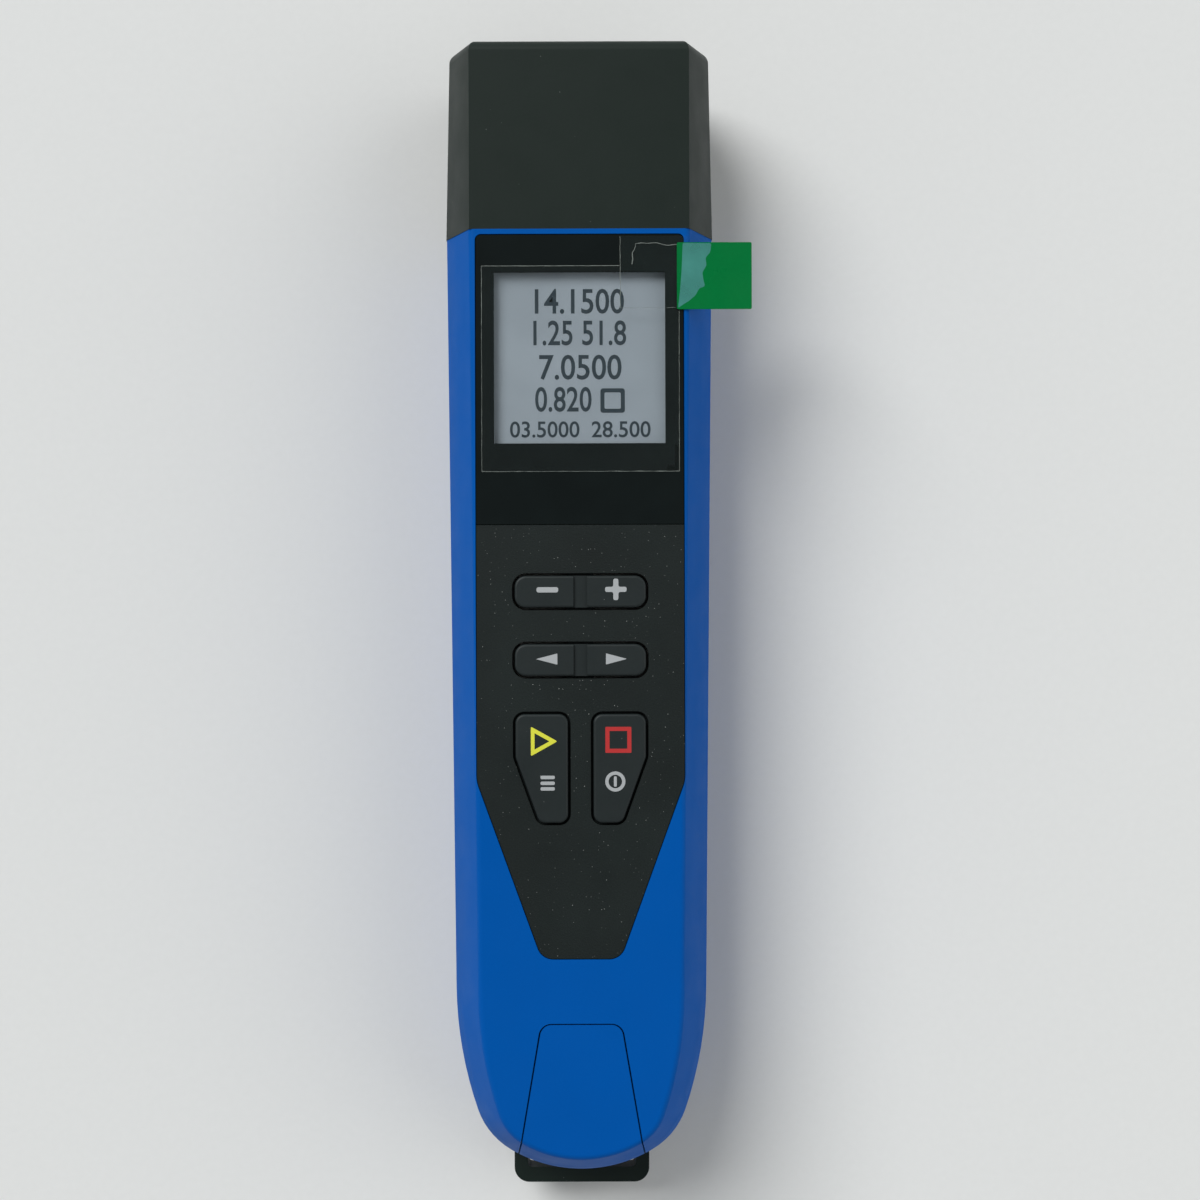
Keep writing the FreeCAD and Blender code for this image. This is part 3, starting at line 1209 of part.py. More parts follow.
lock_washer = turned("lock_washer", rectangle((WASHER_BACK, WASHER_FRONT),
                                              ("barrel_radius + stud_play", "washer_radius")))
connector_nut = new_body("connector_nut")
nut_corners = []
for step in range(6):
    turn = "%d" % (60 * step)
    nut_corners.append(("nut_half / cos(30) * cos(%s)" % turn,
                        "socket_height + nut_half / cos(30) * sin(%s)" % turn))
pad(connector_nut, polygon(connector_nut, "XZ_Plane", WASHER_BACK, nut_corners), "nut_thickness")
pocket(connector_nut, discs(connector_nut, WASHER_BACK, "barrel_radius + pilot_play",
                            [(ZERO, "socket_height")], role="XZ_Plane"), "nut_thickness", reverse=True)
rf_lead = lead("rf_lead", "coax_radius", [
    (ZERO, "pin_root", "socket_height"),
    (ZERO, "pin_root - 6", "socket_height"),
    (ZERO, "coax_foot", "socket_height + 2"),
    (ZERO, "coax_foot", BOARD_FLOOR),
])

# Pull-off cap: eight-sided and slightly narrower towards its closed end
cap_section = new_body("cap_section")
pad(cap_section, polygon(cap_section, "XZ_Plane", "cap_end",
                         ring_of_eight("head_half", ZERO, "case_depth", ZERO)), "cap_end - head_end")
cap_plan = new_body("cap_plan")
pad(cap_plan, polygon(cap_plan, "XY_Plane", ZERO, [
    ("-head_half", "head_end"),
    ("head_half", "head_end"),
    ("cap_end_half", "cap_end"),
    ("-cap_end_half", "cap_end"),
]), "case_depth")
cap_blank = common("cap_blank", cap_section, cap_plan)


def at_cap_end(edge):
    return edge.BoundBox.YMin > number("cap_end") - 1e-3


cap_soft = rounded("cap_soft", cap_blank, "cap_edge", at_cap_end)
cap_hollow = new_body("cap_hollow")
pad(cap_hollow, polygon(cap_hollow, "XZ_Plane", "cap_end - cap_end_wall",
                        ring_of_eight("cap_end_half", "cap_wall", "(case_depth - cap_wall)", "cap_wall")),
    "cap_end - cap_end_wall - head_end")
connector_cap = cut("connector_cap", cap_soft, cap_hollow)

doc.recompute()

NODES = [
    front_shell, rear_shell, seam_gasket, fascia, display_window, window_tape, lcd_glass,
    lcd_backlight, lcd_gasket, lcd_flex, keypad_mat, snap_domes, main_board, board_chips,
    rf_shield, usb_socket, battery_cell, battery_cradle, battery_plug, battery_lead_red,
    battery_lead_black, buzzer, connector_neck, connector_body, connector_insulator,
    centre_contact, connector_o_ring, lock_washer, connector_nut, rf_lead, case_screw_set,
    board_screw_set, rear_label, strap_bracket, connector_cap, port_cover, screen_film,
    film_tape, pull_tab,
]
NODES.extend(rockers.values())
NODES.extend(tall_keys.values())

for item in doc.Objects:
    if "Invalid" in item.State or "Error" in item.State:
        raise RuntimeError("%s failed: %s" % (item.Label, item.State))
for item in NODES:
    if item.Shape.isNull() or not item.Shape.isValid():
        raise RuntimeError("%s has no sound shape" % item.Label)

os.makedirs("parts", exist_ok=True)
for item in NODES:
    item.Shape.exportStep("parts/%s.step" % item.Label)
    limits = item.Shape.BoundBox
    print("%-20s solids %d volume %.1f z %.2f to %.2f" % (
        item.Label, len(item.Shape.Solids), item.Shape.Volume, limits.ZMin, limits.ZMax))
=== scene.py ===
import math

import bmesh
import bpy
from mathutils import Matrix, Vector, noise


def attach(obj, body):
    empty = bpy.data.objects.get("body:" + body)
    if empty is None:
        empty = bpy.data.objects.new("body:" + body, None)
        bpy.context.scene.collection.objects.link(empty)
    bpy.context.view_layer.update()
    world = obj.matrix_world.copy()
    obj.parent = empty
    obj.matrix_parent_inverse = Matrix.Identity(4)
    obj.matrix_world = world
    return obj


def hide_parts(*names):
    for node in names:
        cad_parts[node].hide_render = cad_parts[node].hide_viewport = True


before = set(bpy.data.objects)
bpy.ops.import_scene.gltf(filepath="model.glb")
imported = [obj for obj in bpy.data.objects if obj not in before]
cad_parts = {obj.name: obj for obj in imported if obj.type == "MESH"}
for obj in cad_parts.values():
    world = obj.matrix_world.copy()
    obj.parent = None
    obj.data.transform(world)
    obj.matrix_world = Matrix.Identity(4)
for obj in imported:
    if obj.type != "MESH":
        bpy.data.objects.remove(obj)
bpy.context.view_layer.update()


# Rear shell: the back half of the case, moulded in blue plastic with a fine satin grain.
# It carries the battery and takes the four case screws from behind.
def add(tree, kind, inputs=None, **fields):
    """Add a node, set its fields, and fill its sockets with values or links."""
    made = tree.nodes.new(kind)
    for field, value in fields.items():
        setattr(made, field, value)
    for place, value in (inputs or {}).items():
        if isinstance(value, bpy.types.NodeSocket):
            tree.links.new(value, made.inputs[place])
        else:
            made.inputs[place].default_value = value
    return made


def reckon(tree, operation, *values):
    """One step of reckoning with numbers that change over the surface."""
    return add(tree, "ShaderNodeMath", dict(enumerate(values)), operation=operation).outputs[0]


def clouds(tree, place, scale, detail):
    """Soft random clouds, between 0 and 1 and about a half on average."""
    return add(tree, "ShaderNodeTexNoise", {"Vector": place, "Scale": scale, "Detail": detail}).outputs["Fac"]


def shaded(tree, colour, gain):
    """A colour made lighter or darker from place to place."""
    return add(tree, "ShaderNodeVectorMath", {0: colour, "Scale": gain}, operation="SCALE").outputs[0]


def blend(tree, share, under, over):
    """One colour laid over another where the share says so."""
    return add(tree, "ShaderNodeMix", {"Factor": share, 6: under, 7: over}, data_type="RGBA").outputs[2]


def effect(name, inputs, outputs):
    """Start a node group with named sockets; give the group and its two ends."""
    tree = bpy.data.node_groups.new(name, "ShaderNodeTree")
    kinds = {"value": "NodeSocketFloat", "colour": "NodeSocketColor", "vector": "NodeSocketVector"}
    for label, kind in inputs.items():
        tree.interface.new_socket(label, in_out="INPUT", socket_type=kinds[kind])
    for label, kind in outputs.items():
        tree.interface.new_socket(label, in_out="OUTPUT", socket_type=kinds[kind])
    start = tree.nodes.new("NodeGroupInput")
    end = tree.nodes.new("NodeGroupOutput")
    return tree, start.outputs, end.inputs


def deliver(tree, result, **values):
    """Join what was worked out to the group's outputs of the same names."""
    for label, value in values.items():
        tree.links.new(value, result[label])


def moulded_surface():
    """Moulded plastic: cloudy tint, fine grain, wiped patches, and pale specks that are partly loose dust and
    partly painted glints.
    """
    tree, given, result = effect(
        "moulded_surface",
        {"Place": "vector", "Colour": "colour", "Drift": "value", "Grain": "value",
         "Roughness": "value", "Dust": "value", "Specks": "value"},
        {"Colour": "colour", "Roughness": "value", "Height": "value"},
    )
    place = given["Place"]
    cloud = clouds(tree, place, scale=55.0, detail=3.0)
    grain = clouds(tree, place, scale=given["Grain"], detail=2.0)
    patches = clouds(tree, place, scale=160.0, detail=5.0)
    swing = reckon(tree, "SUBTRACT", reckon(tree, "ADD", cloud, grain), 1.0)
    gain = reckon(tree, "MULTIPLY_ADD", swing, given["Drift"], 1.0)
    cells = add(tree, "ShaderNodeTexVoronoi", {"Vector": place, "Scale": given["Specks"], "Randomness": 1.0})
    # Pale specks: partly loose dust, and partly painted glints where the grain sparkles.
    spot = reckon(tree, "LESS_THAN", cells.outputs["Distance"], given["Dust"])
    bright = reckon(tree, "POWER", cells.outputs["Color"], 3.0)
    speck = reckon(tree, "MULTIPLY", spot, bright)
    dust_and_glint_colour = blend(tree, speck, shaded(tree, given["Colour"], gain), (0.36, 0.38, 0.36, 1))
    wiped = reckon(tree, "SUBTRACT", patches, 0.5)
    rough = reckon(tree, "MULTIPLY_ADD", wiped, 0.22, given["Roughness"])
    deliver(tree, result, Colour=dust_and_glint_colour, Roughness=rough, Height=grain)
    return tree


MOULDED = moulded_surface()


def finish_with(name, group, inputs, depth, **shader):
    """Make a material from an effect group; its fixed values sit on the shader."""
    material = bpy.data.materials.new(name)
    material.use_nodes = True
    tree = material.node_tree
    tree.nodes.clear()
    place = add(tree, "ShaderNodeTexCoord")
    look = tree.nodes.new("ShaderNodeGroup")
    look.node_tree = group
    tree.links.new(place.outputs["Object"], look.inputs["Place"])
    for label, value in inputs.items():
        look.inputs[label].default_value = value
    surface = add(tree, "ShaderNodeBsdfPrincipled")
    for label, value in shader.items():
        surface.inputs[label.replace("_", " ")].default_value = value
    for label, socket in (("Colour", "Base Color"), ("Roughness", "Roughness"), ("Alpha", "Alpha")):
        if label in look.outputs:
            tree.links.new(look.outputs[label], surface.inputs[socket])
    if "Height" in look.outputs:
        height = look.outputs["Height"]
        relief = add(tree, "ShaderNodeBump", {"Strength": 1.0, "Distance": depth, "Height": height})
        tree.links.new(relief.outputs["Normal"], surface.inputs["Normal"])
    end = add(tree, "ShaderNodeOutputMaterial")
    tree.links.new(surface.outputs[0], end.inputs["Surface"])
    return material


def moulded(name, colour, roughness, grain=2600.0, depth=0.00002, drift=0.18, dust_and_glints=0.0, specks=420.0,
            level=0.4):
    """A moulded plastic or rubber; level is how strongly its skin shines."""
    return finish_with(
        name, MOULDED,
        {"Colour": (*colour, 1), "Drift": drift, "Grain": grain, "Roughness": roughness, "Dust": dust_and_glints,
         "Specks": specks},
        depth, Specular_IOR_Level=level,
    )


WELD = 0.000002
ROUND_EDGE = 32


def welded_copy(node):
    """A welded copy of a construction piece's mesh, in the shared frame."""
    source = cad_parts[node]
    mesh = source.data.copy()
    mesh.name = node + "_form"
    mesh.transform(source.matrix_world)
    shape = bmesh.new()
    shape.from_mesh(mesh)
    bmesh.ops.remove_doubles(shape, verts=shape.verts, dist=WELD)
    shape.to_mesh(mesh)
    shape.free()
    return mesh


def place_piece(name, mesh, body, material):
    """Shade a mesh by angle, give it its material and hang it on its moving part."""
    if "custom_normal" in mesh.attributes:
        mesh.attributes.remove(mesh.attributes["custom_normal"])
    mesh.shade_smooth()
    mesh.set_sharp_from_angle(angle=math.radians(ROUND_EDGE))
    mesh.materials.clear()
    mesh.materials.append(material)
    piece = bpy.data.objects.new(name, mesh)
    bpy.context.scene.collection.objects.link(piece)
    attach(piece, body)
    return piece


def take_over(node, mesh, body, material):
    """Put a mesh in a construction piece's place, with even shading on its rounds."""
    piece = place_piece(node + "_skin", mesh, body, material)
    even = piece.modifiers.new("even_shading", "WEIGHTED_NORMAL")
    even.keep_sharp = True
    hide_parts(node)


def finished(node, body, material):
    """Finish a construction piece in the form that it has."""
    take_over(node, welded_copy(node), body, material)


blue = moulded("blue_case", (0.0, 0.082, 0.36), roughness=0.5, grain=3200.0, depth=0.000012, drift=0.1,
               level=0.045)
finished("rear_shell", "case", blue)


# Seam gasket: a soft black cord of rubber pressed in the groove between the two shells.
# The O-ring of the same rubber seals the socket's neck.
def dress(node, material):
    """Give a construction piece that is kept as it is its material."""
    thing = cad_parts[node]
    if not thing.material_slots:
        thing.data.materials.append(material)
    for place in thing.material_slots:
        place.material = material


black_rubber = moulded("black_rubber", (0.014, 0.014, 0.014), roughness=0.7, grain=1800.0)
dress("seam_gasket", black_rubber)
dress("connector_o_ring", black_rubber)


# Battery: a round cell in a printed shrink sleeve, lying in a plastic cradle.
# Two insulated leads end in a small plug on the main board.
def sleeve_surface():
    """Shrink sleeve and cable skins: soft rings across the run, with scuffs."""
    tree, given, result = effect(
        "sleeve_surface",
        {"Place": "vector", "Colour": "colour", "Rings": "value", "Roughness": "value"},
        {"Colour": "colour", "Roughness": "value", "Height": "value"},
    )
    rings = add(tree, "ShaderNodeTexWave",
                {"Vector": given["Place"], "Scale": given["Rings"], "Distortion": 1.5}, bands_direction="Y")
    scuffs = clouds(tree, given["Place"], scale=300.0, detail=4.0)
    gain = reckon(tree, "MULTIPLY_ADD", scuffs, 0.5, 0.75)
    rough = reckon(tree, "MULTIPLY_ADD", scuffs, 0.2, given["Roughness"])
    deliver(tree, result, Colour=shaded(tree, given["Colour"], gain), Roughness=rough,
            Height=rings.outputs["Fac"])
    return tree


SLEEVE = sleeve_surface()


def sleeved(name, colour, roughness, rings):
    """A shrink sleeve or a cable's insulation."""
    return finish_with(name, SLEEVE, {"Colour": (*colour, 1), "Rings": rings, "Roughness": roughness},
                       depth=0.00001)


white_plastic = moulded("white_plastic", (0.7, 0.7, 0.67), roughness=0.45, grain=1500.0, drift=0.08)
black_wire = sleeved("black_wire", (0.015, 0.015, 0.015), roughness=0.3, rings=500.0)
dress("battery_cell", sleeved("battery_sleeve", (0.03, 0.2, 0.16), roughness=0.2, rings=90.0))
dress("battery_cradle", white_plastic)
dress("battery_plug", white_plastic)
dress("battery_lead_red", sleeved("red_wire", (0.45, 0.02, 0.02), roughness=0.3, rings=500.0))
dress("battery_lead_black", black_wire)


# Main board: glass-fibre board with green solder mask over copper tracks.
# It carries moulded chips, a pressed shield, the buzzer and the data socket.
def board_surface():
    """Solder mask: raised copper tracks and plated dots under green lacquer."""
    tree, given, result = effect(
        "board_surface",
        {"Place": "vector", "Mask": "colour", "Copper": "colour"},
        {"Colour": "colour", "Roughness": "value", "Height": "value"},
    )
    first, second = [
        add(tree, "ShaderNodeTexVoronoi", {"Vector": given["Place"], "Scale": 260.0, "Randomness": 0.35},
            feature=feature, distance="MANHATTAN").outputs["Distance"]
        for feature in ("F1", "F2")
    ]
    track = reckon(tree, "LESS_THAN", reckon(tree, "SUBTRACT", second, first), 0.12)
    dots = add(tree, "ShaderNodeTexVoronoi", {"Vector": given["Place"], "Scale": 190.0, "Randomness": 0.8})
    dot = reckon(tree, "LESS_THAN", dots.outputs["Distance"], 0.09)
    shade = reckon(tree, "MULTIPLY_ADD", track, 0.6, 0.8)
    colour = blend(tree, dot, shaded(tree, given["Mask"], shade), given["Copper"])
    rough = reckon(tree, "MULTIPLY_ADD", track, 0.1, 0.3)
    deliver(tree, result, Colour=colour, Roughness=rough, Height=track)
    return tree


def metal_surface():
    """Plated metal: drawn streaks and faint stains."""
    tree, given, result = effect(
        "metal_surface",
        {"Place": "vector", "Colour": "colour", "Stretch": "vector", "Roughness": "value"},
        {"Colour": "colour", "Roughness": "value", "Height": "value"},
    )
    drawn = add(tree, "ShaderNodeVectorMath", {0: given["Place"], 1: given["Stretch"]}, operation="MULTIPLY")
    streaks = clouds(tree, drawn.outputs[0], scale=1.0, detail=4.0)
    stains = clouds(tree, given["Place"], scale=180.0, detail=3.0)
    gain = reckon(tree, "MULTIPLY_ADD", stains, 0.3, 0.85)
    rough = reckon(tree, "MULTIPLY_ADD", streaks, 0.25, given["Roughness"])
    deliver(tree, result, Colour=shaded(tree, given["Colour"], gain), Roughness=rough, Height=streaks)
    return tree


METAL = metal_surface()


def plated(name, colour, roughness, stretch):
    """A plated or drawn metal; its streaks run where the stretch is smallest."""
    return finish_with(name, METAL, {"Colour": (*colour, 1), "Stretch": stretch, "Roughness": roughness},
                       depth=0.000004, Metallic=1.0)


green_board = finish_with("green_board", board_surface(),
                          {"Mask": (0.008, 0.1, 0.03, 1), "Copper": (0.6, 0.45, 0.2, 1)},
                          depth=0.00003, Specular_IOR_Level=0.5)
nickel = plated("nickel", (0.66, 0.63, 0.57), roughness=0.18, stretch=(500.0, 4000.0, 500.0))
steel = plated("steel", (0.55, 0.56, 0.57), roughness=0.25, stretch=(2500.0, 2500.0, 400.0))
chip_black = moulded("chip_black", (0.015, 0.015, 0.016), roughness=0.5, grain=5000.0, depth=0.000008)
dress("main_board", green_board)
dress("board_chips", chip_black)
dress("buzzer", chip_black)
dress("rf_shield", nickel)
dress("board_screws", steel)
finished("usb_socket", "case", nickel)

# Antenna socket: a body turned from brass and nickel plated. Its barrel is taken down here to
# the root of the coupling thread, so that the thread can stand out from it.
THREAD_CREST, THREAD_ROOT, SOCKET_AXIS = 0.00794, 0.00733, 0.017
THREADED_FROM, THREADED_TO, BARREL_SKIN = 0.0869, 0.0981, 0.0079
socket_mesh = welded_copy("connector_body")
for vertex in socket_mesh.vertices:
    x, y, z = vertex.co
    out = math.hypot(x, z - SOCKET_AXIS)
    if out > BARREL_SKIN and THREADED_FROM < y < THREADED_TO:
        shrink = THREAD_ROOT / out
        vertex.co = (x * shrink, y, SOCKET_AXIS + (z - SOCKET_AXIS) * shrink)
take_over("connector_body", socket_mesh, "case", nickel)

# Coupling thread: the thread that the mating plug screws on to, in one piece with the body.
# It is cut at 24 turns to the inch, and its crests are flattened.
PITCH, TURNS, STEPS = 0.0254 / 24, 9, 72
FIRST_TURN, SUNK_ROOT = 0.0877, THREAD_ROOT - 0.0001
HALF_FOOT, HALF_CREST = 0.00048, 0.00008
ridge = bmesh.new()
profile = [(SUNK_ROOT, -HALF_FOOT), (THREAD_CREST, -HALF_CREST), (THREAD_CREST, HALF_CREST),
           (SUNK_ROOT, HALF_FOOT)]
ring = [ridge.verts.new((out, FIRST_TURN + along, SOCKET_AXIS)) for out, along in profile]
edges = [ridge.edges.new((ring[i - 1], ring[i])) for i in range(len(ring))]
bmesh.ops.spin(ridge, geom=ring + edges, cent=(0, 0, SOCKET_AXIS), axis=(0, 1, 0), dvec=(0, PITCH / STEPS, 0),
               angle=TURNS * math.tau, steps=TURNS * STEPS)
bmesh.ops.holes_fill(ridge, edges=[e for e in ridge.edges if e.is_boundary], sides=len(profile))
bmesh.ops.recalc_face_normals(ridge, faces=ridge.faces)
thread_mesh = bpy.data.meshes.new("coupling_thread")
ridge.to_mesh(thread_mesh)
ridge.free()
place_piece("coupling_thread", thread_mesh, "case", nickel)

# Insides and seat of the socket: a white insulator holds the hollow brass contact in the body.
# A washer and a nut clamp the body in the black moulded neck, and a thin lead runs to the board.
brass = plated("brass", (0.72, 0.5, 0.2), roughness=0.2, stretch=(600.0, 3000.0, 600.0))
white_insulator = moulded("white_insulator", (0.78, 0.78, 0.75), roughness=0.35, grain=1800.0,
                          depth=0.000008, drift=0.05)
black = moulded("black_case", (0.0085, 0.0155, 0.0125), roughness=0.5, grain=2400.0, depth=0.000014,
                drift=0.16, dust_and_glints=0.03, level=0.2)
finished("connector_insulator", "case", white_insulator)
finished("centre_contact", "case", brass)
dress("lock_washer", steel)
dress("connector_nut", nickel)
dress("rf_lead", black_wire)
finished("connector_neck", "case", black)

# Socket cap: a plain cap moulded in satin black and pushed over the neck to keep the socket
# clean. Its facets run on from those of the case.
finished("connector_cap", "cap", black)


# Display: a reflective dot display on a white light guide, in a rubber frame, with a printed
# strip of copper to the board. The figures lie as a thin dark layer on the glass.
def display_surface():
    """Display glass: rows and columns of dots with thin paler gaps."""
    tree, given, result = effect(
        "display_surface",
        {"Place": "vector", "Colour": "colour", "Pitch": "value"},
        {"Colour": "colour", "Roughness": "value"},
    )
    axes = add(tree, "ShaderNodeSeparateXYZ", {0: given["Place"]})
    gaps = []
    for axis in (0, 1):
        count = reckon(tree, "DIVIDE", axes.outputs[axis], given["Pitch"])
        gaps.append(reckon(tree, "LESS_THAN", reckon(tree, "FRACT", count), 0.12))
    gap = reckon(tree, "MAXIMUM", *gaps)
    wash = clouds(tree, given["Place"], scale=70.0, detail=2.0)
    gain = reckon(tree, "MULTIPLY_ADD", gap, 0.12, reckon(tree, "MULTIPLY_ADD", wash, 0.2, 0.9))
    rough = reckon(tree, "MULTIPLY_ADD", wash, 0.1, 0.15)
    deliver(tree, result, Colour=shaded(tree, given["Colour"], gain), Roughness=rough)
    return tree


def top_of(node):
    """The height of a construction piece's top, in millimetres."""
    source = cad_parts[node]
    return round(1000 * max((source.matrix_world @ v.co).z for v in source.data.vertices), 3)


def joined_mesh(name, pieces):
    """Join flat shapes, made as temporary objects, in one welded mesh."""
    shape = bmesh.new()
    for thing in pieces:
        flat = bpy.data.meshes.new_from_object(thing)
        flat.transform(thing.matrix_basis)
        shape.from_mesh(flat)
        bpy.data.meshes.remove(flat)
        bpy.data.objects.remove(thing)
    bmesh.ops.remove_doubles(shape, verts=shape.verts, dist=WELD / 2)
    bmesh.ops.recalc_face_normals(shape, faces=shape.faces)
    mesh = bpy.data.meshes.new(name)
    shape.to_mesh(mesh)
    shape.free()
    return mesh


FIGURES_LOW, FIGURES_THICK = top_of("lcd_glass"), 0.01


def figures(text, left, right, bottom, tall):
    """One line of figures fitted between two sides on a base line; sizes in millimetres."""
    letters = bpy.data.curves.new("figures", "FONT")
    letters.body = text
    letters.resolution_u = 4
    thing = bpy.data.objects.new("figures", letters)
    bpy.context.scene.collection.objects.link(thing)
    flat = bpy.data.meshes.new_from_object(thing)
    across = [v.co.x for v in flat.vertices]
    upward = [v.co.y for v in flat.vertices]
    bpy.data.meshes.remove(flat)
    wide = (right - left) / (max(across) - min(across)) / 1000
    high = tall / (max(upward) - min(upward)) / 1000
    letters.extrude = 0.5
    letters.offset = 0.012
    thing.matrix_basis = (
        Matrix.Translation((left / 1000 - min(across) * wide, bottom / 1000 - min(upward) * high,
                            (FIGURES_LOW + FIGURES_THICK / 2) / 1000))
        @ Matrix.Diagonal((wide, high, FIGURES_THICK / 1000, 1))
    )
    return thing


def print_shape(loops, low, thick):
    """A flat printed shape from closed outlines in millimetres; inner ones are holes."""
    path = bpy.data.curves.new("print", "CURVE")
    path.dimensions = "2D"
    path.fill_mode = "BOTH"
    path.extrude = thick / 2000
    for loop in loops:
        spline = path.splines.new("POLY")
        spline.points.add(len(loop) - 1)
        for point, (x, y) in zip(spline.points, loop):
            point.co = (x / 1000, y / 1000, 0, 1)
        spline.use_cyclic_u = True
    thing = bpy.data.objects.new("print", path)
    bpy.context.scene.collection.objects.link(thing)
    thing.location.z = (low + thick / 2) / 1000
    return thing


CORNER_STEPS = 5


def softened(corners, reach):
    """Round the corners of an outline with short curves that reach along both sides."""
    loop = []
    count = len(corners)
    for i, corner in enumerate(corners):
        here = Vector(corner)
        back = (Vector(corners[i - 1]) - here).normalized() * reach
        ahead = (Vector(corners[(i + 1) % count]) - here).normalized() * reach
        for step in range(CORNER_STEPS + 1):
            t = step / CORNER_STEPS
            point = here + back * (1 - t) ** 2 + ahead * t ** 2
            loop.append((point.x, point.y))
    return loop


def bar(x, y, wide, tall, reach):
    """A rounded bar round its middle."""
    w, h = wide / 2, tall / 2
    return softened([(x - w, y - h), (x + w, y - h), (x + w, y + h), (x - w, y + h)], reach)


DOT_PITCH = 0.0002
lcd_grey = finish_with("lcd_grey", display_surface(),
                       {"Colour": (0.305, 0.355, 0.395, 1), "Pitch": DOT_PITCH},
                       depth=0.00001, Specular_IOR_Level=0.3)
lit_dots = moulded("lit_dots", (0.035, 0.05, 0.062), roughness=0.3, grain=5000.0, depth=0.000002, level=0.2)
dress("lcd_backlight", white_plastic)
dress("lcd_gasket", black_rubber)
dress("lcd_flex", brass)
finished("lcd_glass", "case", lcd_grey)

LARGE, SMALL = 4.6, 3.0
figure_lines = [
    figures("14.1500", left=-8.4, right=8.4, bottom=55.9, tall=LARGE),
    figures("1.25 51.8", left=-8.7, right=8.8, bottom=49.9, tall=LARGE),
    figures("7.0500", left=-7.6, right=7.9, bottom=43.4, tall=LARGE),
    figures("0.820", left=-8.4, right=2.2, bottom=37.3, tall=LARGE),
    figures("03.5000", left=-13.2, right=-0.1, bottom=32.4, tall=SMALL),
    figures("28.500", left=2.3, right=13.4, bottom=32.4, tall=SMALL),
    print_shape([bar(6.25, 39.35, 4.65, 4.65, reach=0.6), bar(6.25, 39.35, 3.1, 3.1, reach=0.3)],
                FIGURES_LOW, FIGURES_THICK),
]
place_piece("display_figures", joined_mesh("display_figures", figure_lines), "case", lit_dots)


# Display window: a clear acrylic sheet stuck down with a frame of tape. It is painted black
# behind its border, so that only the square of the display shows through.
def window_surface():
    """Clear sheet with a black border printed round a square opening."""
    tree, given, result = effect(
        "window_surface",
        {"Place": "vector", "Border": "colour", "Middle": "vector", "Half": "value", "Clear": "value"},
        {"Colour": "colour", "Roughness": "value", "Alpha": "value"},
    )
    off = add(tree, "ShaderNodeVectorMath", {0: given["Place"], 1: given["Middle"]}, operation="SUBTRACT")
    away = add(tree, "ShaderNodeVectorMath", {0: off.outputs[0]}, operation="ABSOLUTE")
    axes = add(tree, "ShaderNodeSeparateXYZ", {0: away.outputs[0]})
    far = reckon(tree, "MAXIMUM", axes.outputs[0], axes.outputs[1])
    outside = reckon(tree, "GREATER_THAN", far, given["Half"])
    smear = clouds(tree, given["Place"], scale=120.0, detail=4.0)
    haze = reckon(tree, "MULTIPLY_ADD", smear, 0.04, given["Clear"])
    alpha = reckon(tree, "MAXIMUM", outside, haze)
    shade = reckon(tree, "MULTIPLY_ADD", smear, 0.6, 0.7)
    rough = reckon(tree, "MULTIPLY_ADD", smear, 0.12, 0.02)
    deliver(tree, result, Colour=shaded(tree, given["Border"], shade), Roughness=rough, Alpha=alpha)
    return tree


OPENING_MIDDLE, OPENING_HALF = (0.0, 0.0473, 0.0), 0.0162
gloss_window = finish_with(
    "gloss_window", window_surface(),
    {"Border": (0.0045, 0.0075, 0.0075, 1), "Middle": OPENING_MIDDLE, "Half": OPENING_HALF, "Clear": 0.02},
    depth=0.00001, Specular_IOR_Level=0.5, IOR=1.49,
)
dress("window_tape", white_plastic)
finished("display_window", "case", gloss_window)

# Keypad: a grey silicone mat with nickel snap domes under it, and four black keys over it.
# The two rockers tip about their middle; the two tall keys go straight down.
key_rubber = moulded("key_rubber", (0.011, 0.0165, 0.017), roughness=0.5, grain=1500.0, depth=0.00001,
                     drift=0.2, dust_and_glints=0.045, level=0.3)
dress("keypad_mat", moulded("grey_rubber", (0.22, 0.22, 0.21), roughness=0.65, grain=1500.0))
dress("snap_domes", nickel)
finished("minus_plus_key", "minus_plus", key_rubber)
finished("arrow_key", "arrows", key_rubber)
finished("run_key", "run", key_rubber)
finished("stop_key", "stop", key_rubber)

# Signs on the keys: thin pale, yellow and red ink, printed on the tops of the keys and sunk
# half its thickness into them.
INK_THICK = 0.02
INK_LOW = top_of("run_key") - INK_THICK / 2


def ink(name, colour):
    """A matt printing ink."""
    return moulded(name, colour, roughness=0.5, grain=6000.0, depth=0.000006, drift=0.15)


def key_print(name, body, material, *shapes):
    """Ink on a key's top."""
    things = [print_shape(loops, INK_LOW, INK_THICK) for loops in shapes]
    place_piece(name, joined_mesh(name, things), body, material)


def cross(x, y, arm, thick, reach):
    """A plus sign with softened arm ends."""
    a, t = arm / 2, thick / 2
    corners = [(-t, -a), (t, -a), (t, -t), (a, -t), (a, t), (t, t),
               (t, a), (-t, a), (-t, t), (-a, t), (-a, -t), (-t, -t)]
    return softened([(x + u, y + v) for u, v in corners], reach)


def circle(x, y, radius):
    """A round outline."""
    turns = [i * math.tau / 48 for i in range(48)]
    return [(x + radius * math.cos(t), y + radius * math.sin(t)) for t in turns]


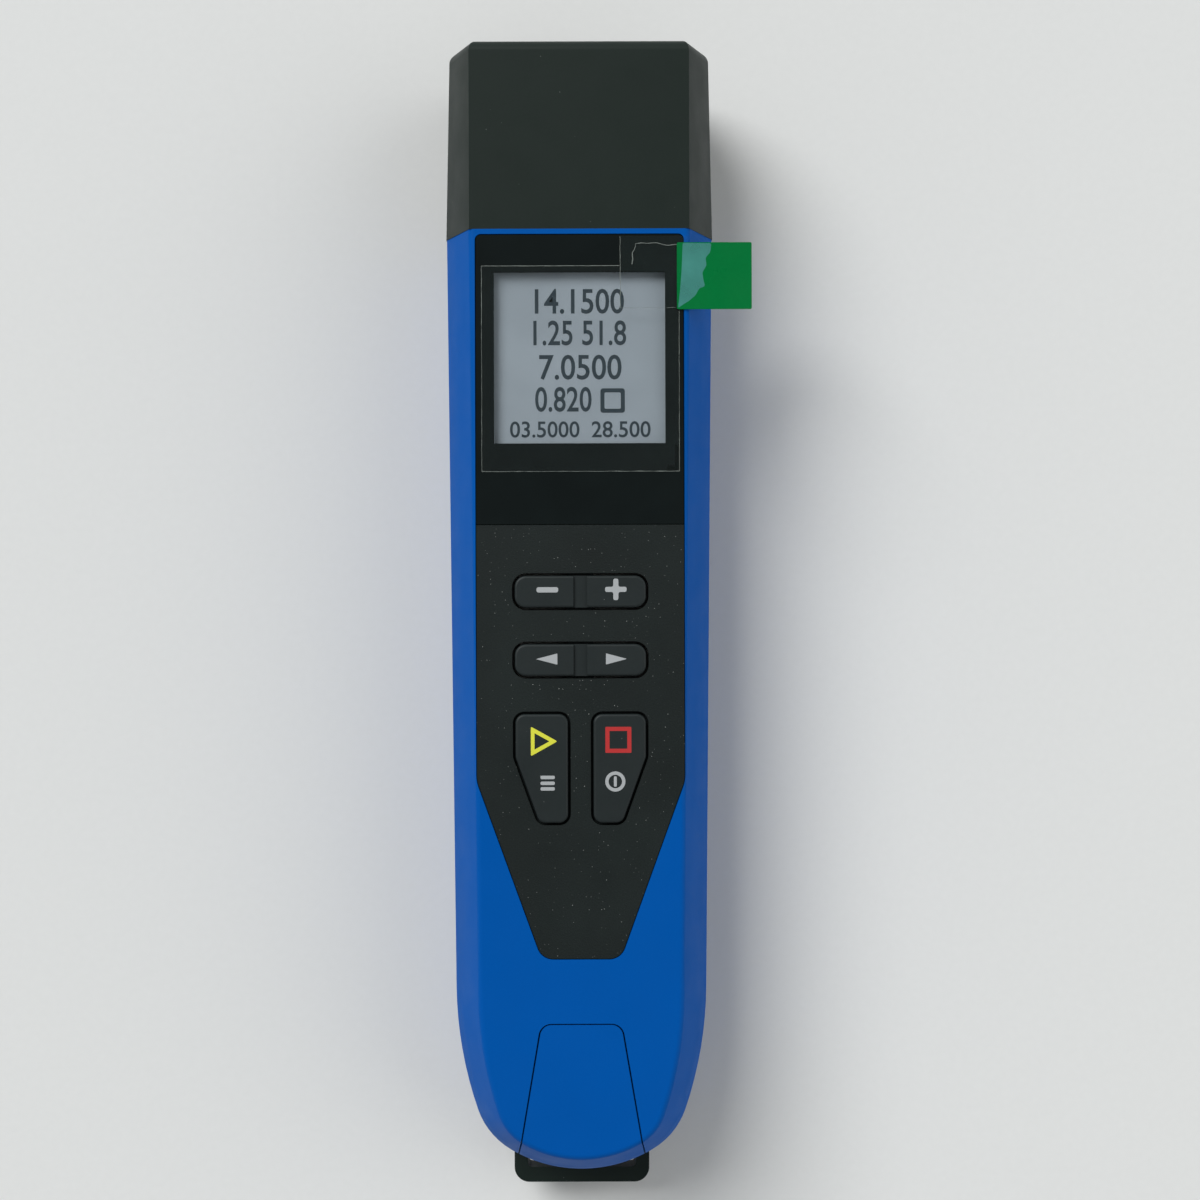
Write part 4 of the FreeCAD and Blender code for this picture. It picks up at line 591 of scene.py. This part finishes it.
pale_ink = ink("pale_ink", (0.38, 0.40, 0.41))
yellow_ink = ink("yellow_ink", (0.66, 0.66, 0.05))
red_ink = ink("red_ink", (0.45, 0.025, 0.025))
key_print("minus_plus_print", "minus_plus", pale_ink,
          [bar(-6.2, 3.45, 4.1, 1.0, reach=0.45)],
          [cross(6.7, 3.5, arm=4.05, thick=0.97, reach=0.4)])
key_print("arrow_print", "arrows", pale_ink,
          [softened([(-8.4, -9.6), (-4.35, -10.66), (-4.35, -8.54)], reach=0.12)],
          [softened([(8.75, -9.6), (4.8, -8.54), (4.8, -10.66)], reach=0.12)])
key_print("run_print", "run", yellow_ink,
          [softened([(-9.4, -22.3), (-9.4, -27.9), (-4.4, -25.1)], reach=0.35),
           softened([(-8.7, -23.55), (-8.7, -26.65), (-5.9, -25.1)], reach=0.1)])
key_print("menu_print", "run", pale_ink,
          *[[bar(-6.25, y, 2.7, 0.65, reach=0.3)] for y in (-31.9, -33.0, -34.05)])
key_print("stop_print", "stop", red_ink,
          [bar(7.1, -24.85, 4.9, 4.9, reach=0.2), bar(7.1, -24.85, 3.35, 3.35, reach=0.08)])
key_print("power_print", "stop", pale_ink,
          [circle(6.5, -32.7, 1.9), circle(6.5, -32.7, 1.27)],
          [bar(6.5, -32.7, 0.55, 1.95, reach=0.22)])

# Front shell: the front half of the case in the same blue plastic, with facets along both
# sides and a tail that falls away to the port.
finished("front_shell", "case", blue)

# Fascia: a black cover panel with a fine sparkling texture, set in the front shell; its sparkles are painted
# glints, pale specks in its colour.
# The window lies in its upper half and the keys come through its openings.
# Its pale specks are painted glints of the sparkling grain, with some loose dust.
fascia_black = moulded("black_fascia", (0.0075, 0.012, 0.0115), roughness=0.55, grain=3600.0, depth=0.00005,
                       drift=0.9, dust_and_glints=0.1, specks=1250.0, level=0.22)
finished("fascia", "case", fascia_black)

# Port cover: a blue flap over the data socket, joined to the shell by a bead at its foot.
# It is moulded in the shell's plastic and lies flush with the tail.
finished("port_cover", "cover", blue)

# Strap bracket: a black moulded bow at the tail, held between the shells.
# A wrist strap runs through the slot behind it.
finished("strap_bracket", "case", black)

# Case screws and rear label: four zinc-plated screws in the back, and a bare grey label
# stuck in a shallow recess.
label_grey = moulded("label_grey", (0.5, 0.51, 0.5), roughness=0.5, grain=1400.0, depth=0.000008, drift=0.08)
finished("case_screws", "case", steel)
finished("rear_label", "case", label_grey)


# Screen film: the clear protective film that the instrument is sold with, still on its window.
# Its corner under the tape is left open, because the tape covers it.
def film_surface():
    """Clear film: faint smears and hairline scratches."""
    tree, given, result = effect(
        "film_surface",
        {"Place": "vector", "Colour": "colour", "Veil": "value"},
        {"Colour": "colour", "Roughness": "value", "Alpha": "value", "Height": "value"},
    )
    smear = clouds(tree, given["Place"], scale=90.0, detail=4.0)
    scratch = add(tree, "ShaderNodeTexWave", {"Vector": given["Place"], "Scale": 60.0, "Distortion": 12.0})
    hair = reckon(tree, "GREATER_THAN", scratch.outputs["Fac"], 0.995)
    veil = reckon(tree, "MULTIPLY_ADD", smear, given["Veil"], 0.01)
    alpha = reckon(tree, "MULTIPLY_ADD", hair, 0.004, veil)
    shade = reckon(tree, "MULTIPLY_ADD", smear, 0.2, 0.9)
    rough = reckon(tree, "MULTIPLY_ADD", smear, 0.2, 0.05)
    deliver(tree, result, Colour=shaded(tree, given["Colour"], shade), Roughness=rough, Alpha=alpha,
            Height=smear)
    return tree


FILM = film_surface()


def film(name, colour, veil, depth, level=0.5):
    """A clear film; the veil is how much of its colour shows."""
    return finish_with(name, FILM, {"Colour": (*colour, 1), "Veil": veil}, depth, Specular_IOR_Level=level)


def strand(points, wide):
    """The outline of a thin bent line of uneven width."""
    left, right = [], []
    for i, (x, y) in enumerate(points):
        before = Vector(points[max(i - 1, 0)])
        after = Vector(points[min(i + 1, len(points) - 1)])
        along = (after - before).normalized()
        half = wide / 2 * (0.7 + 0.6 * noise.noise(Vector((x * 0.9, y * 0.9, 0.0))))
        left.append((x - along.y * half, y + along.x * half))
        right.append((x + along.y * half, y - along.x * half))
    return left + right[::-1]


def run_between(start, end, count, stray):
    """Points along a line that strays a little to either side."""
    points = []
    for i in range(count + 1):
        t = i / count
        x = start[0] + (end[0] - start[0]) * t
        y = start[1] + (end[1] - start[1]) * t
        points.append((x + stray * noise.noise(Vector((y * 0.5, 3.1, x))),
                       y + stray * noise.noise(Vector((x * 0.5, 7.7, y)))))
    return points


HAIR_THICK = 0.01


def hairline(start, end, low, count, stray, wide):
    """A thin raised line between two points, as a cut edge or a crease leaves."""
    return print_shape([strand(run_between(start, end, count, stray), wide)], low, HAIR_THICK)


clear_film = film("clear_film", (0.3, 0.36, 0.34), veil=0.012, depth=0.00002)
cut_edge = film("cut_edge", (0.34, 0.38, 0.35), veil=0.9, depth=0.00001)
FILM_LEFT, FILM_RIGHT, FILM_FOOT, FILM_HEAD = -18.6, 18.9, 25.7, 64.7
OPEN_LEFT, OPEN_FOOT = 7.55, 56.35
film_outline = [(FILM_LEFT, FILM_FOOT), (FILM_RIGHT, FILM_FOOT), (FILM_RIGHT, OPEN_FOOT),
                (OPEN_LEFT, OPEN_FOOT), (OPEN_LEFT, FILM_HEAD), (FILM_LEFT, FILM_HEAD)]
film_sheet = print_shape([film_outline], top_of("display_window"), thick=0.1)
film_piece = place_piece("screen_film_skin", joined_mesh("screen_film_form", [film_sheet]), "film",
                         clear_film)
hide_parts("screen_film")

film_top = top_of("screen_film")
foot_left, foot_right, head_left = (-18.5, 25.8), (18.8, 25.8), (-18.5, 64.6)
film_rim = [
    hairline(head_left, (7.6, 64.6), film_top, count=60, stray=0.05, wide=0.14),
    hairline(foot_left, head_left, film_top, count=80, stray=0.05, wide=0.1),
    hairline(foot_left, foot_right, film_top, count=80, stray=0.05, wide=0.12),
    hairline(foot_right, (18.8, 56.0), film_top, count=60, stray=0.06, wide=0.1),
]
place_piece("film_rim", joined_mesh("film_rim", film_rim), "film", cut_edge)

# Film tape: a strip of clear tape over the film's upper right corner. Its cut sides show as
# thin pale lines, and two creases and the edge of the glue run across it.
clear_tape = film("clear_tape", (0.16, 0.22, 0.2), veil=0.012, depth=0.00003)
finished("film_tape", "film", clear_tape)
tape_top = top_of("film_tape")
tape_creases = [
    hairline((7.7, 56.6), (7.7, 70.1), tape_top, count=50, stray=0.12, wide=0.14),
    hairline((7.7, 56.6), (18.2, 56.6), tape_top, count=40, stray=0.1, wide=0.06),
    hairline((9.9, 64.6), (10.5, 68.7), tape_top, count=20, stray=0.5, wide=0.22),
    hairline((10.5, 68.8), (19.6, 68.3), tape_top, count=50, stray=0.35, wide=0.16),
    hairline((18.9, 56.5), (20.3, 63.0), tape_top, count=30, stray=0.8, wide=0.3),
]
place_piece("tape_creases", joined_mesh("tape_creases", tape_creases), "film", cut_edge)

# Pull tab: a slip of green plastic film that the tape holds, by which the film is lifted.
# A paler patch with a ragged edge is painted on it by the end of the tape: a painted glare.
green_tab = moulded("green_tab", (0.0, 0.155, 0.035), roughness=0.3, grain=1200.0, depth=0.00001, drift=0.12,
                    level=0.15)
# Painted glare: a pale veil laid over the green tab.
painted_tab_glare = film("painted_tab_glare", (0.07, 0.29, 0.25), veil=1.3, depth=0.00002, level=0.4)
finished("pull_tab", "film", green_tab)
glare_low = top_of("pull_tab") + 0.005
glare_outline = [(18.6, 56.5), (19.0, 60.0), (19.3, 64.0), (19.5, 68.8), (24.9, 68.7), (24.7, 67.0),
                 (23.8, 66.0), (24.0, 64.6), (23.2, 63.2), (23.4, 61.8), (23.7, 60.6), (22.6, 60.2),
                 (21.9, 58.9), (20.6, 57.8), (19.6, 57.2)]
# The outline of the painted glare on the tab.
glare_patch = print_shape([softened(glare_outline, reach=0.35)], glare_low, HAIR_THICK)
place_piece("tab_glare", joined_mesh("tab_glare", [glare_patch]), "film", painted_tab_glare)


# Studio: a pale seamless floor, a dim ceiling with a paler horizon, one large soft lamp up
# on the left and a weaker one on the right; the camera looks straight down.
def floor_surface():
    """Pale matt paper."""
    tree, given, result = effect("floor_surface", {"Place": "vector", "Colour": "colour"},
                                 {"Colour": "colour", "Height": "value"})
    pulp = clouds(tree, given["Place"], scale=700.0, detail=3.0)
    gain = reckon(tree, "MULTIPLY_ADD", pulp, 0.04, 0.98)
    deliver(tree, result, Colour=shaded(tree, given["Colour"], gain), Height=pulp)
    return tree


FLOOR_HALF, FLOOR_DROP = 6.0, 0.0003
paper = bmesh.new()
bmesh.ops.create_grid(paper, x_segments=1, y_segments=1, size=FLOOR_HALF)
bmesh.ops.translate(paper, verts=paper.verts, vec=(0, 0, -FLOOR_DROP))
floor_mesh = bpy.data.meshes.new("floor")
paper.to_mesh(floor_mesh)
paper.free()
floor_mesh.materials.append(finish_with("floor_paper", floor_surface(), {"Colour": (0.72, 0.73, 0.72, 1)},
                                        depth=0.00001, Roughness=0.8))
floor = bpy.data.objects.new("floor", floor_mesh)
bpy.context.scene.collection.objects.link(floor)

HORIZON, CEILING = 0.72, 0.1
world = bpy.data.worlds.new("studio")
world.use_nodes = True
bpy.context.scene.world = world
sky = world.node_tree
sky.nodes.clear()
direction = add(sky, "ShaderNodeTexCoord")
up = add(sky, "ShaderNodeSeparateXYZ", {0: direction.outputs["Generated"]})
strength = add(sky, "ShaderNodeMapRange", {0: up.outputs[2], 1: 0.0, 2: 1.0, 3: HORIZON, 4: CEILING})
glow = add(sky, "ShaderNodeBackground", {0: (0.97, 0.99, 1.0, 1), 1: strength.outputs[0]})
add(sky, "ShaderNodeOutputWorld", {0: glow.outputs[0]})


def lamp(name, place, spread, strength):
    """A far soft lamp that lights the whole floor evenly."""
    light = bpy.data.lights.new(name, "SUN")
    light.angle = math.radians(spread)
    light.energy = strength
    thing = bpy.data.objects.new(name, light)
    thing.location = place
    thing.rotation_euler = (-Vector(place)).to_track_quat("-Z", "Y").to_euler()
    bpy.context.scene.collection.objects.link(thing)


lamp("key_lamp", (-0.52, 0.62, 0.75), spread=36.0, strength=2.6)
lamp("fill_lamp", (0.75, 0.1, 0.5), spread=60.0, strength=0.75)

lens = bpy.data.cameras.new("camera")
lens.sensor_width = 36.0
lens.lens = 55.65
lens.shift_x = 0.0164
lens.shift_y = 0.0067
lens.clip_start = 0.01
camera = bpy.data.objects.new("camera", lens)
camera.location = (0.0, 0.0, 0.384)
camera.rotation_euler = (0.0, 0.0, math.radians(-0.17))
bpy.context.scene.collection.objects.link(camera)
bpy.context.scene.camera = camera
bpy.context.scene.view_settings.view_transform = "Standard"
